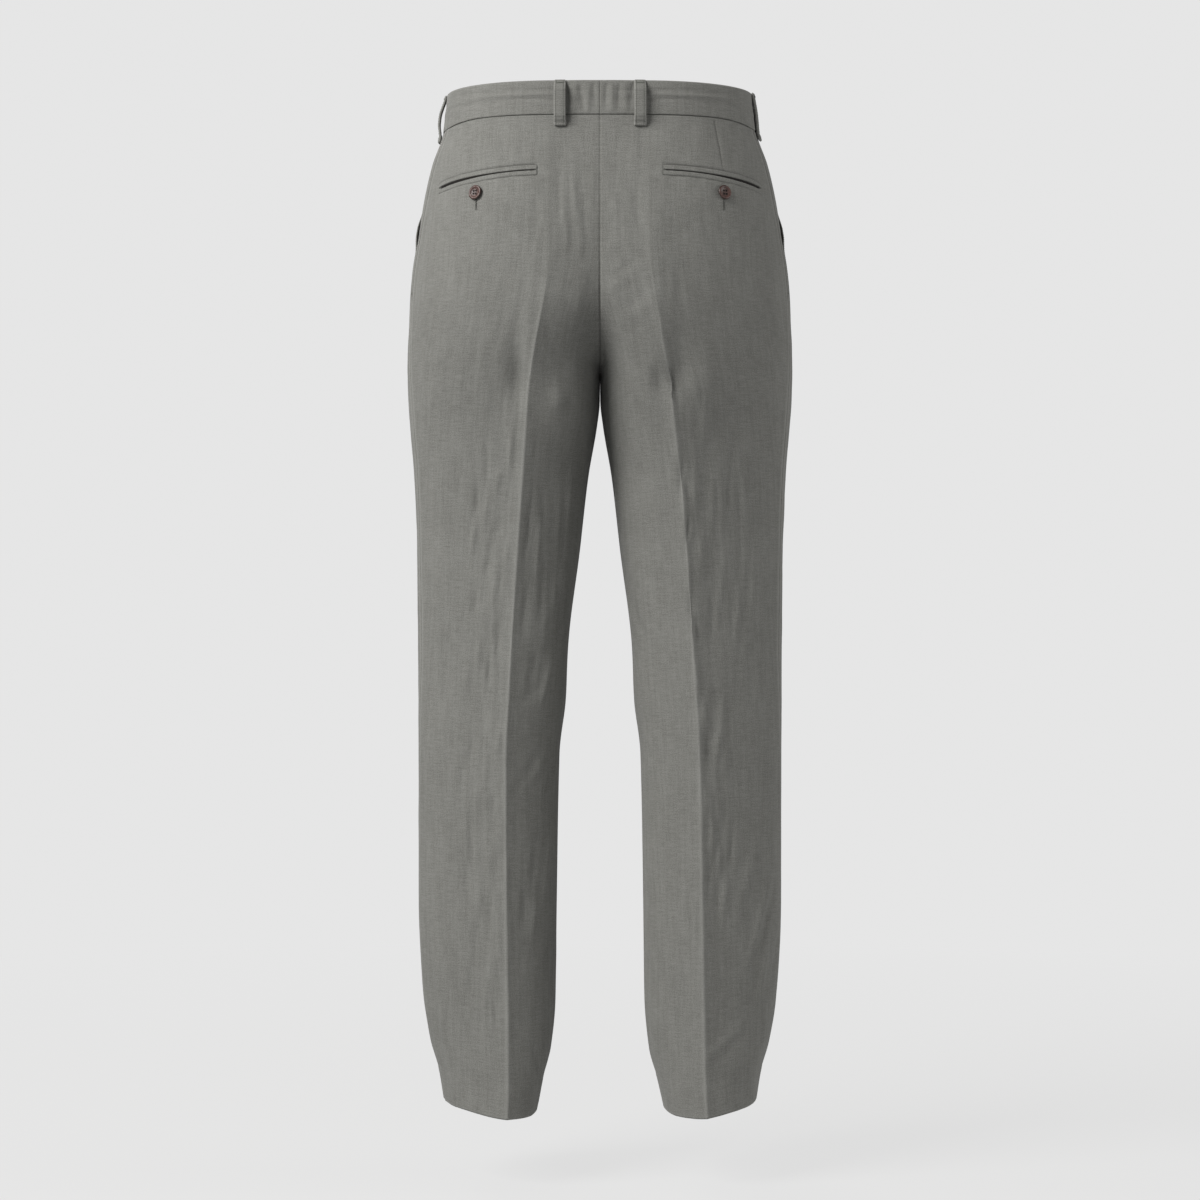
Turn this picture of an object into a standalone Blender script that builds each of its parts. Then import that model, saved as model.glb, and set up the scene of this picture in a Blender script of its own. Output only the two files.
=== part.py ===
"""Linen trousers in their worn, hollow form.

Metres, +Z up. The front of the garment faces -Y and its left leg lies at +X. The origin is the
middle of the waistband's ring, halfway down the band. Heights are told as the drop below the top
edge of the waistband, as a cutter measures them.

Each leg and its half of the seat is one stack of level outlines. An outline runs from the back
inner edge (centre back seam, or inseam below the crotch) over the back crease, round the widest
point at the side, over the front crease, to the front inner edge. The panels are stretches of
these outlines, given a cloth wall. All that is sewn on top is made from the panels' own points.
"""
import math

import bmesh
import bpy
import numpy as np
from mathutils import Matrix

MM = 0.001

# Driving dimensions, in metres
BACK_LENGTH = 1.060
BAND_DEPTH = 0.035
CROTCH_DROP = 0.290
CLOTH = 0.0015
BAND_WALL = 0.0022
BAND_PROUD = 0.0004
SEAM_GAP = 0.0003
LAID_GAP = 0.0005

# Where the level outlines tilt: how far, and over which drops and depths (y) it comes in
HEM_RISE_FRONT = 0.010
HEM_RISE_DROPS = (0.850, 1.060)
HEM_RISE_DEPTHS = (-0.080, 0.090)
WAIST_DIP_FRONT = 0.008
WAIST_DIP_DROPS = (0.0, 0.260)
WAIST_DIP_DEPTHS = (0.0, 0.110)
SEAM_DIP_SIDE = 0.005
SEAM_DIP_DEPTHS = (0.025, 0.095)
SEAM_DIP_FADE = (0.035, 0.140)

# Fly: the left front laps over the right one
FLY_LAP = 0.004
FLY_LAP_FADE = (0.180, 0.205)
FLY_LAP_REACH = 0.010
FLY_LIFT_FADE = (0.210, 0.240)
FLY_LIFT_REACH = 0.022
TAB_LENGTH = 0.040
TAB_LIFT_REACH = 0.016
TAB_SHARES = (0.25, 0.5, 0.75, 1.0)

# Slant pocket: the mouth runs from the band seam down to the side seam
MOUTH_TOP_IN = 0.060
MOUTH_END_DROP = 0.222
MOUTH_GAPE = 0.0035
GAPE_OPENS = (0.060, 0.130)
GAPE_CLOSES = (0.190, 0.221)
GAPE_REACH = 0.040
FACING_UNDERLAP = 0.016
FACING_END_DROP = 0.212
FACING_SINK = (0.60, 0.95)
FACING_SHARES = (0.0, 0.25, 0.5, 0.75, 1.0)

# Back pockets: distances along the cloth from the centre back seam
POCKET_INNER = 0.064
POCKET_OUTER = 0.187
POCKET_DROP = 0.0943
POCKET_FALL = 0.0115
POCKET_FALL_POWER = 1.6
WELT_HEIGHT = 0.0052
WELT_THICK = 0.0010
WELT_SLIT = 0.0008

# Buttons
BUTTON_RADIUS = 0.0076
BUTTON_THICK = 0.0028
BUTTON_SHANK = 0.0008
BUTTON_DISH = 0.0010
BUTTON_RIM = 0.0018
BUTTON_HOLE = 0.0009
BUTTON_HOLE_STEP = 0.0016
BUTTON_SIDES = 20
HOLE_SIDES = 8
BACK_BUTTON_ALONG = 0.130
BACK_BUTTON_DROP = 0.1145
TAB_BUTTON_FROM_END = 0.014

# Belt loops
LOOP_WIDTH = 0.0105
LOOP_THICK = 0.0016
LOOP_LENGTH = 0.0465
LOOP_TOP_DROP = 0.0006
LOOP_STATIONS = 11
LOOP_BEND_SHARE = 0.22
LOOP_STAND = {"back": 0.0057, "side": 0.0065, "front": 0.0064}
LOOP_SEAT = 0.0004
LOOP_BACK_ALONG = 0.0405
LOOP_SIDE_AHEAD = {"left": 0.002, "right": -0.011}
LOOP_FRONT_ALONG = 0.072

# One row for each level outline, in millimetres and degrees.
#   wide      half width at the widest point, wide_y its place from front to back
#   seam      how far behind the widest point the side seam runs, along the cloth
#   inner     inner edge from the middle plane
#   back, front           depth of the back and front creases
#   back_in, front_in     depth of the back and front inner edges
#   left, right           back crease of each leg from the middle plane; ahead: the front creases
#   fold_b, fold_f        how sharply each crease is pressed: the slope of its two flanks
#   turn_b, turn_f        how far the cloth has turned inwards where it reaches the inner edge
SECTION_COLUMNS = (
    "drop", "wide", "wide_y", "seam", "inner", "back", "front", "back_in", "front_in",
    "left", "right", "ahead", "fold_b", "fold_f", "turn_b", "turn_f",
)
SECTIONS = (
    (0, 159.8, 2, 36, 0.15, 110, -105, 112, -108, 50, 50, 72, 0, 0, 0, 0),
    (35, 164.2, 3, 36, 0.15, 113, -108, 114.5, -110.5, 50, 50, 73, 0, 0, 0, 0),
    (70, 173.6, 5, 36, 0.15, 121, -113, 121, -114.5, 50, 50, 75, 0, 0, 0, 0),
    (110, 181.6, 7, 35, 0.15, 130.5, -117, 128.5, -116, 49.5, 49.5, 77, 0, 0, 0, 0),
    (150, 188.0, 8, 34, 0.15, 138, -120, 133, -115.5, 49.5, 50, 79, 0, 3, 5, 3),
    (190, 193.0, 8, 33, 0.15, 141.5, -122, 133, -110, 51, 51.5, 81, 0, 7, 11, 10),
    (220, 197.2, 7, 33, 0.15, 141, -123, 128.5, -101, 55.5, 55.5, 83, 4, 9, 18, 20),
    (245, 199.8, 6, 33, 0.15, 138, -123.5, 117, -86, 61, 60.5, 84, 8, 11, 30, 34),
    (265, 200.8, 5, 33, 0.15, 133, -123.5, 95, -64, 65, 63.5, 85, 12, 13, 48, 54),
    (280, 201.2, 4, 33, 0.15, 127.5, -123, 61, -34, 67.5, 66.5, 86, 14, 14, 70, 74),
    (290, 201.3, 4, 33, 0.15, 123, -122.5, 4, 4, 69, 68.5, 87, 16, 15, 90, 90),
    (320, 200.6, 2, 33, 0.8, 112.5, -121, 2, 2, 73, 73, 90, 18, 17, 90, 90),
    (345, 199.3, 0, 32, 3.0, 105.5, -119, 1, 1, 75, 75.5, 92, 20, 18, 90, 90),
    (400, 195.0, -4, 29, 12.3, 94, -113, 0, 0, 79, 82.5, 96, 22, 20, 90, 90),
    (475, 192.5, -8, 27, 21.0, 84, -104, -3, -3, 84.5, 89, 101, 24, 22, 90, 90),
    (580, 191.1, -9, 26, 33.8, 77, -96, -6, -6, 91.3, 96, 108, 25, 24, 90, 90),
    (690, 190.6, -8, 16, 43.0, 75, -91, -6, -6, 97, 102.5, 113, 25, 25, 90, 90),
    (845, 190.0, -5, 12, 45.5, 77, -86, -4, -4, 96.3, 105.2, 116, 25, 25, 90, 90),
    (950, 184.8, -2, 11, 46.8, 80, -83, -2, -2, 95, 106.5, 118, 25, 25, 90, 90),
    (1000, 177.0, -1, 10, 51.5, 83, -84, 0, 0, 94.5, 107.5, 119, 25, 25, 90, 90),
    (1030, 168.6, 0, 10, 59.5, 85.5, -86, 0, 0, 94.2, 108.4, 120, 25, 25, 90, 90),
    (1060, 163.5, 0, 10, 66.5, 88, -89, 0, 0, 95, 110, 121, 25, 25, 90, 90),
)

# The largest folds, in millimetres and degrees: "across" is measured from the crease, positive
# towards the side seam; a fold is a soft swell (lift above 0) or hollow (below 0) along the wall.
# They die away towards the middle plane, and between the thighs down to the drops named here.
FOLD_FREE_X = (0.003, 0.020)
FOLD_FREE_DROPS = (0.380, 0.460)
FOLD_COLUMNS = ("panel", "leg", "across", "drop", "half_width", "half_length", "lean", "lift")
FOLDS = (
    ("back", "left", 24, 300, 26, 62, 8, -4.0),
    ("back", "right", 8, 306, 24, 40, -20, -4.5),
    ("back", "right", 34, 330, 22, 60, -14, 2.5),
    ("back", "left", -34, 560, 16, 70, 14, 2.5),
    ("back", "right", 40, 880, 20, 70, -16, 2.5),
    ("front", "left", 10, 960, 70, 16, 8, -4.0),
    ("front", "right", 6, 968, 70, 16, -8, -4.0),
    ("front", "left", 20, 1002, 60, 18, -6, 3.5),
    ("front", "right", 16, 1008, 60, 18, 8, 3.5),
    ("front", "left", -30, 300, 20, 60, -35, -3.0),
    ("front", "right", -30, 304, 20, 60, -35, -3.0),
)

# Rows of the panels' grids: drops in millimetres. Columns: shares of each stretch of outline.
PANEL_ROWS = (
    35, 60, 88, 118, 148, 178, 206, 228, 247, 262, 274, 283, 290, 302, 320, 345, 380,
    425, 480, 540, 600, 660, 725, 790, 855, 905, 950, 982, 1008, 1032, BACK_LENGTH / MM,
)
SIDE_SHARES = (0.0, 0.11, 0.22, 0.34, 0.46, 0.59, 0.72, 0.86, 1.0)
INNER_SHARES = (0.0, 0.22, 0.43, 0.63, 0.82, 1.0)
OUTLINE_STEPS = 48
CURVE_HANDLE = 0.55
SEAT_LEAN = 1.3
SHARP_ANGLE = 35.0

CLOTH_COLOUR = (0.205, 0.222, 0.196, 1.0)
BUTTON_COLOUR = (0.060, 0.028, 0.024, 1.0)

OTHER_SIDE = np.array((-1.0, 1.0, 1.0))
TABLE = {name: np.array([row[i] for row in SECTIONS], dtype=float)
         for i, name in enumerate(SECTION_COLUMNS)}


# ---------------------------------------------------------------- numbers that vary smoothly
def ease(value, start, end):
    """0 up to start, 1 from end, and a soft S between them; all three in one unit."""
    share = np.clip((value - start) / (end - start), 0.0, 1.0)
    return share * share * (3.0 - 2.0 * share)


def slopes_through(places, values):
    """Slopes that carry a smooth curve through the values without passing beyond them."""
    rises = np.diff(values) / np.diff(places)
    slopes = np.zeros(len(values))
    for i in range(1, len(values) - 1):
        if rises[i - 1] * rises[i] > 0.0:
            slopes[i] = 2.0 * rises[i - 1] * rises[i] / (rises[i - 1] + rises[i])
    slopes[0] = rises[0]
    slopes[-1] = rises[-1]
    return slopes


SLOPES = {name: slopes_through(TABLE["drop"], TABLE[name]) for name in SECTION_COLUMNS[1:]}


def measure(name, drop):
    """A column of the section table, read smoothly at a drop in millimetres."""
    drops = TABLE["drop"]
    i = int(np.clip(np.searchsorted(drops, drop) - 1, 0, len(drops) - 2))
    step = drops[i + 1] - drops[i]
    t = (drop - drops[i]) / step
    start = TABLE[name][i]
    end = TABLE[name][i + 1]
    lead = SLOPES[name][i] * step
    trail = SLOPES[name][i + 1] * step
    bulge = t * (1.0 - t)
    return start + (end - start) * t * t * (3.0 - 2.0 * t) + bulge * (lead * (1.0 - t) - trail * t)


# ---------------------------------------------------------------- one level outline
def way(angle):
    """Direction of travel on an outline: 0 is straight towards the middle, 90 straight back."""
    return np.array((-math.cos(math.radians(angle)), math.sin(math.radians(angle))))


def bend(start, start_way, end, end_way):
    """A curve that leaves start along start_way and reaches end along end_way."""
    span = end - start
    out = start + start_way * CURVE_HANDLE * max(span.dot(start_way), 1.0)
    back = end - end_way * CURVE_HANDLE * max(span.dot(end_way), 1.0)
    t = np.linspace(0.0, 1.0, OUTLINE_STEPS)[:, None]
    u = 1.0 - t
    return u ** 3 * start + 3 * u * u * t * out + 3 * u * t * t * back + t ** 3 * end


def half_outline(drop, crease_name, depth, inner_depth, fold, turn, facing):
    """From the widest point over one crease to the inner edge; facing is 1 at the back, -1 in front."""
    crease = np.array((measure(crease_name, drop), facing * measure(depth, drop)))
    inner_depth = inner_depth if drop < CROTCH_DROP / MM else "back_in"
    inner = np.array((measure("inner", drop), facing * measure(inner_depth, drop)))
    widest = np.array((measure("wide", drop), facing * measure("wide_y", drop)))
    pressed = measure(fold, drop)
    rise = max(inner[1] - crease[1], 0.0)
    tilt = math.degrees(math.atan2(rise * SEAT_LEAN, crease[0]))
    flank = bend(widest, way(90.0), crease, way(tilt + pressed))
    inside = bend(crease, way(tilt - pressed), inner, way(-measure(turn, drop)))
    points = np.vstack((flank, inside[1:]))
    points[:, 1] *= facing
    return points


def outline(leg, drop):
    """The whole outline at one drop: points, distance along the cloth, and where its marks lie."""
    back = half_outline(drop, leg, "back", "back_in", "fold_b", "turn_b", 1.0)
    front = half_outline(drop, "ahead", "front", "front_in", "fold_f", "turn_f", -1.0)
    points = np.vstack((back[::-1], front[1:]))
    along = np.concatenate(([0.0], np.cumsum(np.linalg.norm(np.diff(points, axis=0), axis=1))))
    widest = along[len(back) - 1]
    marks = {
        "inner_back": 0.0,
        "crease_back": along[OUTLINE_STEPS - 1],
        "side_seam": widest - measure("seam", drop),
        "widest": widest,
        "crease_front": along[len(back) - 1 + OUTLINE_STEPS - 1],
        "inner_front": along[-1],
    }
    return points, along, marks


def height(y, drop):
    """The level of a point: in front the hem rises and the waist dips, at the side the band seam."""
    down = drop * MM
    ahead = -y * MM
    hem = HEM_RISE_FRONT * ease(down, *HEM_RISE_DROPS) * ease(ahead, *HEM_RISE_DEPTHS)
    dip = WAIST_DIP_FRONT * (1.0 - ease(down, *WAIST_DIP_DROPS)) * ease(ahead, *WAIST_DIP_DEPTHS)
    side = SEAM_DIP_SIDE * (1.0 - ease(np.abs(ahead), *SEAM_DIP_DEPTHS))
    side = side * ease(down, 0.0, BAND_DEPTH) * (1.0 - ease(down, *SEAM_DIP_FADE))
    return BAND_DEPTH / 2 - down + hem - dip - side


# ---------------------------------------------------------------- grids of points
class Grid:
    """Rows of points on the cloth's outer face, with each point's distance along and normal."""

    def __init__(self, points, normals, along, drops):
        self.points = points
        self.normals = normals
        self.along = along
        self.drops = drops

    def moved(self, shift):
        """The same grid with its points moved."""
        return Grid(self.points + shift, self.normals, self.along, self.drops)

    def at(self, along, drop):
        """The point and normal on the grid's own facets at a distance along and a drop."""
        r = int(np.clip(np.searchsorted(self.drops, drop) - 1, 0, len(self.drops) - 2))
        w = (drop - self.drops[r]) / (self.drops[r + 1] - self.drops[r])
        line = (1.0 - w) * self.along[r] + w * self.along[r + 1]
        c = int(np.clip(np.searchsorted(line, along) - 1, 0, len(line) - 2))
        f = (along - line[c]) / (line[c + 1] - line[c])
        blend = np.array(((1 - w) * (1 - f), (1 - w) * f, w * (1 - f), w * f))
        corners = ((r, c), (r, c + 1), (r + 1, c), (r + 1, c + 1))
        point = sum(b * self.points[k] for b, k in zip(blend, corners))
        normal = sum(b * self.normals[k] for b, k in zip(blend, corners))
        return point, normal / np.linalg.norm(normal)

    def columns_between(self, start, end, drop):
        """Distances along at which the grid's columns cross a stretch, with the stretch's ends."""
        r = int(np.clip(np.searchsorted(self.drops, drop) - 1, 0, len(self.drops) - 2))
        w = (drop - self.drops[r]) / (self.drops[r + 1] - self.drops[r])
        line = (1.0 - w) * self.along[r] + w * self.along[r + 1]
        inside = [a for a in line if start + 1.0 < a < end - 1.0]
        return [start, *inside, end]


def grid_of(leg, drops, places_at, gap_rows):
    """A Grid over the leg's outlines: places_at gives each row's distances along.

    gap_rows tells how far in z the first and last row keep from the seam there. The normals
    are those of the smooth outline, so two pieces that meet at a seam have parallel edges.
    """
    points = []
    ways = []
    alongs = []
    for i, drop in enumerate(drops):
        path, along, marks = outline(leg, float(drop))
        places = places_at(float(drop), marks)
        tangents = np.gradient(path, axis=0)
        tangents /= np.linalg.norm(tangents, axis=1)[:, None]
        x, y = (np.interp(places, along, path[:, k]) for k in (0, 1))
        tx, ty = (np.interp(places, along, tangents[:, k]) for k in (0, 1))
        z = height(y, drop) + gap_rows[0] * (i == 0) + gap_rows[1] * (i == len(drops) - 1)
        points.append(np.stack((x * MM, y * MM, z), axis=1))
        ways.append(np.stack((tx, ty, np.zeros_like(tx)), axis=1))
        alongs.append(places)
    points = np.array(points)
    normals = np.cross(np.array(ways), np.gradient(points, axis=0))
    normals[0, :, 2] = 0.0
    normals[-1, :, 2] = 0.0
    normals /= np.linalg.norm(normals, axis=2)[:, :, None]
    return Grid(points, normals, np.array(alongs), np.array(drops, dtype=float))


def fold_lift(panel, leg, from_crease, drop):
    """How far the largest folds move the cloth out at one place."""
    lift = np.zeros_like(from_crease)
    for row in FOLDS:
        fold = dict(zip(FOLD_COLUMNS, row))
        if fold["panel"] != panel or fold["leg"] != leg:
            continue
        lean = math.radians(fold["lean"])
        x = from_crease - fold["across"]
        y = drop - fold["drop"]
        wide = (x * math.cos(lean) + y * math.sin(lean)) / fold["half_width"]
        long = (-x * math.sin(lean) + y * math.cos(lean)) / fold["half_length"]
        lift += fold["lift"] * np.exp(-(wide ** 2 + long ** 2))
    return lift


def mouth_inset(drop):
    """Distance from the side seam to the slant pocket's mouth."""
    top = BAND_DEPTH / MM
    end = MOUTH_END_DROP / MM
    return MOUTH_TOP_IN / MM * max(0.0, (end - drop) / (end - top))


def reverse(shares):
    """The same shares, walked from the other end."""
    return tuple(1.0 - share for share in shares[::-1])


def stretch(start, bend_at, end, shares_out, shares_in):
    """Distances along from start over a bend to an end, shared out as the two lists say."""
    first = start + (bend_at - start) * np.array(shares_out)
    second = bend_at + (end - bend_at) * np.array(shares_in[1:])
    return np.concatenate((first, second))


def panel_places(panel, drop, marks):
    """Distances along at which a panel's columns cross one outline, in the order of the outline."""
    trim = SEAM_GAP / MM / 2
    below_crotch = drop >= CROTCH_DROP / MM
    if panel == "back":
        start = marks["inner_back"] + trim * below_crotch
        end = marks["side_seam"] - trim
        return stretch(start, marks["crease_back"], end, reverse(INNER_SHARES), reverse(SIDE_SHARES))
    start = marks["side_seam"] + trim + mouth_inset(drop)
    end = marks["inner_front"] - trim * below_crotch
    return stretch(start, marks["crease_front"], end, SIDE_SHARES, INNER_SHARES)


def panel_grid(panel, leg):
    """Outer face of a back or front panel as a Grid, with its folds, gape and lap."""
    plain = grid_of(leg, PANEL_ROWS, lambda drop, marks: panel_places(panel, drop, marks),
                    (-SEAM_GAP / 2, 0.0))
    shifts = []
    for r, drop in enumerate(PANEL_ROWS):
        crease = outline(leg, float(drop))[2]["crease_" + panel]
        away = plain.along[r] - crease if panel == "back" else crease - plain.along[r]
        lift = fold_lift(panel, leg, away, drop) * MM * keep_seams(plain.points[r], drop)
        if panel == "front":
            opened = ease(drop * MM, *GAPE_OPENS) * (1.0 - ease(drop * MM, *GAPE_CLOSES))
            behind = (plain.along[r] - plain.along[r][0]) * MM
            lift += MOUTH_GAPE * opened * (1.0 - ease(behind, 0.0, GAPE_REACH))
        shift = plain.normals[r] * lift[:, None]
        if panel == "front" and leg == "left":
            shift += fly_shift(plain.points[r], drop)
        shifts.append(shift)
    return plain.moved(np.array(shifts))


def keep_seams(points, drop):
    """0 where the two legs' panels meet or lie close together, 1 elsewhere."""
    room = ease(points[:, 0], *FOLD_FREE_X)
    if drop * MM > CROTCH_DROP:
        room = np.maximum(room, ease(drop * MM, *FOLD_FREE_DROPS))
    return room


def fly_shift(points, drop):
    """How the left front's edge reaches over the right front and is lifted clear of it."""
    near = 1.0 - ease(points[:, 0], 0.0, FLY_LIFT_REACH)
    lap = FLY_LAP * (1.0 - ease(drop * MM, *FLY_LAP_FADE))
    lift = (CLOTH + SEAM_GAP) * (1.0 - ease(drop * MM, *FLY_LIFT_FADE))
    at_edge = 1.0 - ease(points[:, 0], 0.0, FLY_LAP_REACH)
    shift = np.zeros_like(points)
    slope = math.tan(math.radians(measure("turn_f", drop)))
    shift[:, 0] = -lap * at_edge
    shift[:, 1] = -lift * near - slope * lap * at_edge
    return shift


def facing_places(drop, marks):
    """Columns of the hip facing: up to the pocket mouth in a few steps, then the underlap."""
    mouth = mouth_inset(drop)
    start = marks["side_seam"] + SEAM_GAP / MM / 2
    return start + np.concatenate((mouth * np.array(FACING_SHARES), [mouth + FACING_UNDERLAP / MM]))


def facing_grid(leg):
    """Outer face of the hip facing: level with the cloth at the side seam, then under the front."""
    end = FACING_END_DROP / MM
    drops = [drop for drop in PANEL_ROWS if drop < end - 5.0] + [end]
    plain = grid_of(leg, drops, facing_places, (-SEAM_GAP / 2, 0.0))
    mouths = np.array([mouth_inset(drop) for drop in drops])[:, None]
    sinks = ease((plain.along - plain.along[:, :1]) / mouths, *FACING_SINK)
    return plain.moved(-plain.normals * ((CLOTH + 2 * SEAM_GAP) * sinks)[:, :, None])


def band_places(drop, marks):
    """Columns of a waistband half: those of the two panels under it."""
    back = stretch(0.0, marks["crease_back"], marks["side_seam"],
                   reverse(INNER_SHARES), reverse(SIDE_SHARES))
    front = stretch(marks["side_seam"], marks["crease_front"], marks["inner_front"],
                    SIDE_SHARES, INNER_SHARES)
    return np.concatenate((back, front[1:]))


def band_grid(leg):
    """Outer face of a waistband half; the left one goes on past the centre front as a tab."""
    drops = (0.0, BAND_DEPTH / MM / 2, BAND_DEPTH / MM)
    half = grid_of(leg, drops, band_places, (0.0, SEAM_GAP / 2))
    half.normals = level_normals(half.normals)
    half = half.moved(half.normals * BAND_PROUD)
    if leg == "right":
        return half
    ends = half.along[:, -1:]
    lift = BAND_WALL + SEAM_GAP
    tab = tab_grid(half, ends, lift)
    lifts = lift * ease(half.along, ends - TAB_LIFT_REACH / MM, ends)
    half = half.moved(half.normals * lifts[:, :, None])
    return Grid(np.concatenate((half.points, tab.points), axis=1),
                np.concatenate((half.normals, tab.normals), axis=1),
                np.concatenate((half.along, tab.along), axis=1), half.drops)


def tab_grid(half, ends, lift):
    """The tab past the centre front: the band's front end, mirrored and lifted off the right half."""
    alongs = ends + TAB_LENGTH / MM * np.array(TAB_SHARES)
    points = np.zeros((len(half.drops), len(TAB_SHARES), 3))
    normals = np.zeros_like(points)
    for r, drop in enumerate(half.drops):
        for c, along in enumerate(alongs[r]):
            point, normal = half.at(2 * ends[r, 0] - along, drop)
            points[r, c] = (point + normal * lift) * OTHER_SIDE
            normals[r, c] = normal * OTHER_SIDE
    return Grid(points, normals, alongs, half.drops)


def level_normals(normals):
    """The same normals without their up or down part."""
    level = normals.copy()
    level[:, :, 2] = 0.0
    return level / np.linalg.norm(level, axis=2)[:, :, None]


# ---------------------------------------------------------------- solids
def linen_material():
    """Plain grey-green linen."""
    material = bpy.data.materials.new("linen")
    material.use_nodes = True
    shader = material.node_tree.nodes["Principled BSDF"]
    shader.inputs["Base Color"].default_value = CLOTH_COLOUR
    shader.inputs["Roughness"].default_value = 0.9
    shader.inputs["Metallic"].default_value = 0.0
    return material


def button_material():
    """Dark brown polished resin."""
    material = bpy.data.materials.new("button_resin")
    material.use_nodes = True
    shader = material.node_tree.nodes["Principled BSDF"]
    shader.inputs["Base Color"].default_value = BUTTON_COLOUR
    shader.inputs["Roughness"].default_value = 0.35
    shader.inputs["Metallic"].default_value = 0.0
    return material


def place_object(name, work, material, mirror):
    """Turns a bmesh into a named object, mirrored to the right leg's side where asked."""
    if mirror:
        bmesh.ops.scale(work, vec=OTHER_SIDE, verts=work.verts)
    bmesh.ops.recalc_face_normals(work, faces=work.faces)
    mesh = bpy.data.meshes.new(name)
    work.to_mesh(mesh)
    work.free()
    mesh.materials.append(material)
    mesh.shade_smooth()
    mesh.set_sharp_from_angle(angle=math.radians(SHARP_ANGLE))
    piece = bpy.data.objects.new(name, mesh)
    bpy.context.scene.collection.objects.link(piece)
    return piece


def wall_between(name, outer, inner, material, mirror=False):
    """A closed wall: an outer and an inner grid of points and the rim that joins them."""
    work = bmesh.new()
    rows, columns = outer.shape[:2]
    sheets = []
    for sheet in (outer, inner):
        sheets.append([[work.verts.new(point) for point in row] for row in sheet])
    for sheet in sheets:
        for r in range(rows - 1):
            for c in range(columns - 1):
                corners = (sheet[r][c], sheet[r][c + 1], sheet[r + 1][c + 1], sheet[r + 1][c])
                work.faces.new(corners)
    rim = [(0, c) for c in range(columns)]
    rim += [(r, columns - 1) for r in range(1, rows)]
    rim += [(rows - 1, c) for c in range(columns - 2, -1, -1)]
    rim += [(r, 0) for r in range(rows - 2, 0, -1)]
    for (r, c), (s, d) in zip(rim, rim[1:] + rim[:1]):
        work.faces.new((sheets[0][r][c], sheets[0][s][d], sheets[1][s][d], sheets[1][r][c]))
    return place_object(name, work, material, mirror)


def cloth_wall(name, grid, wall, material, mirror, level=False):
    """A cloth panel: its grid and the same grid moved inwards by the wall."""
    normals = level_normals(grid.normals) if level else grid.normals
    return wall_between(name, grid.points, grid.points - normals * wall, material, mirror)


def laid_on(name, grid, alongs, drops, material, mirror, low, high):
    """A strip lying on a panel: places along and drops give a grid of places on its facets."""
    outer = np.zeros((len(drops), len(alongs), 3))
    inner = np.zeros_like(outer)
    for i, row in enumerate(drops):
        for j, along in enumerate(alongs):
            point, normal = grid.at(along, row[j])
            outer[i, j] = point + normal * high
            inner[i, j] = point + normal * low
    return wall_between(name, outer, inner, material, mirror)


def pocket_fall(along):
    """How far the pocket line has dropped at a distance from the centre back seam."""
    share = (along * MM - POCKET_INNER) / (POCKET_OUTER - POCKET_INNER)
    return POCKET_FALL / MM * share ** POCKET_FALL_POWER


def back_pocket(leg, grid, material, mirror):
    """Two narrow welts, one above and one below the slit."""
    alongs = grid.columns_between(POCKET_INNER / MM, POCKET_OUTER / MM, POCKET_DROP / MM)
    middle = np.array([POCKET_DROP / MM + pocket_fall(a) for a in alongs])
    half_slit = WELT_SLIT / MM / 2
    far = half_slit + WELT_HEIGHT / MM
    for side, near_drop, far_drop in (("upper", -half_slit, -far), ("lower", half_slit, far)):
        drops = (middle + near_drop, middle + far_drop)
        laid_on("welt_" + side + "_" + leg, grid, alongs, drops, material, mirror,
                LAID_GAP, LAID_GAP + WELT_THICK)


def belt_loop(name, stand_off, center, under_top, under_end, material, mirror):
    """A folded strip from the band's top edge to just below the band seam, standing off between.

    stand_off is its clear distance in the middle, where a belt goes through; center tells the
    distance along at each drop; under_top and under_end are the grids it is sewn to.
    """
    outer = np.zeros((LOOP_STATIONS, 3, 3))
    inner = np.zeros_like(outer)
    for i in range(LOOP_STATIONS):
        share = i / (LOOP_STATIONS - 1)
        drop = (LOOP_TOP_DROP + LOOP_LENGTH * share) / MM
        stand = stand_off * ease(min(share, 1.0 - share), 0.0, LOOP_BEND_SHARE)
        seat = LOOP_SEAT + BAND_PROUD * (drop > BAND_DEPTH / MM)
        grid = under_top if drop <= BAND_DEPTH / MM else under_end
        for j, side in enumerate((-0.5, 0.0, 0.5)):
            point, normal = grid.at(center(drop) + side * LOOP_WIDTH / MM, drop)
            normal = np.array((normal[0], normal[1], 0.0)) / math.hypot(normal[0], normal[1])
            inner[i, j] = point + normal * (seat + stand)
            outer[i, j] = point + normal * (seat + stand + LOOP_THICK)
    return wall_between(name, outer, inner, material, mirror)


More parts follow.
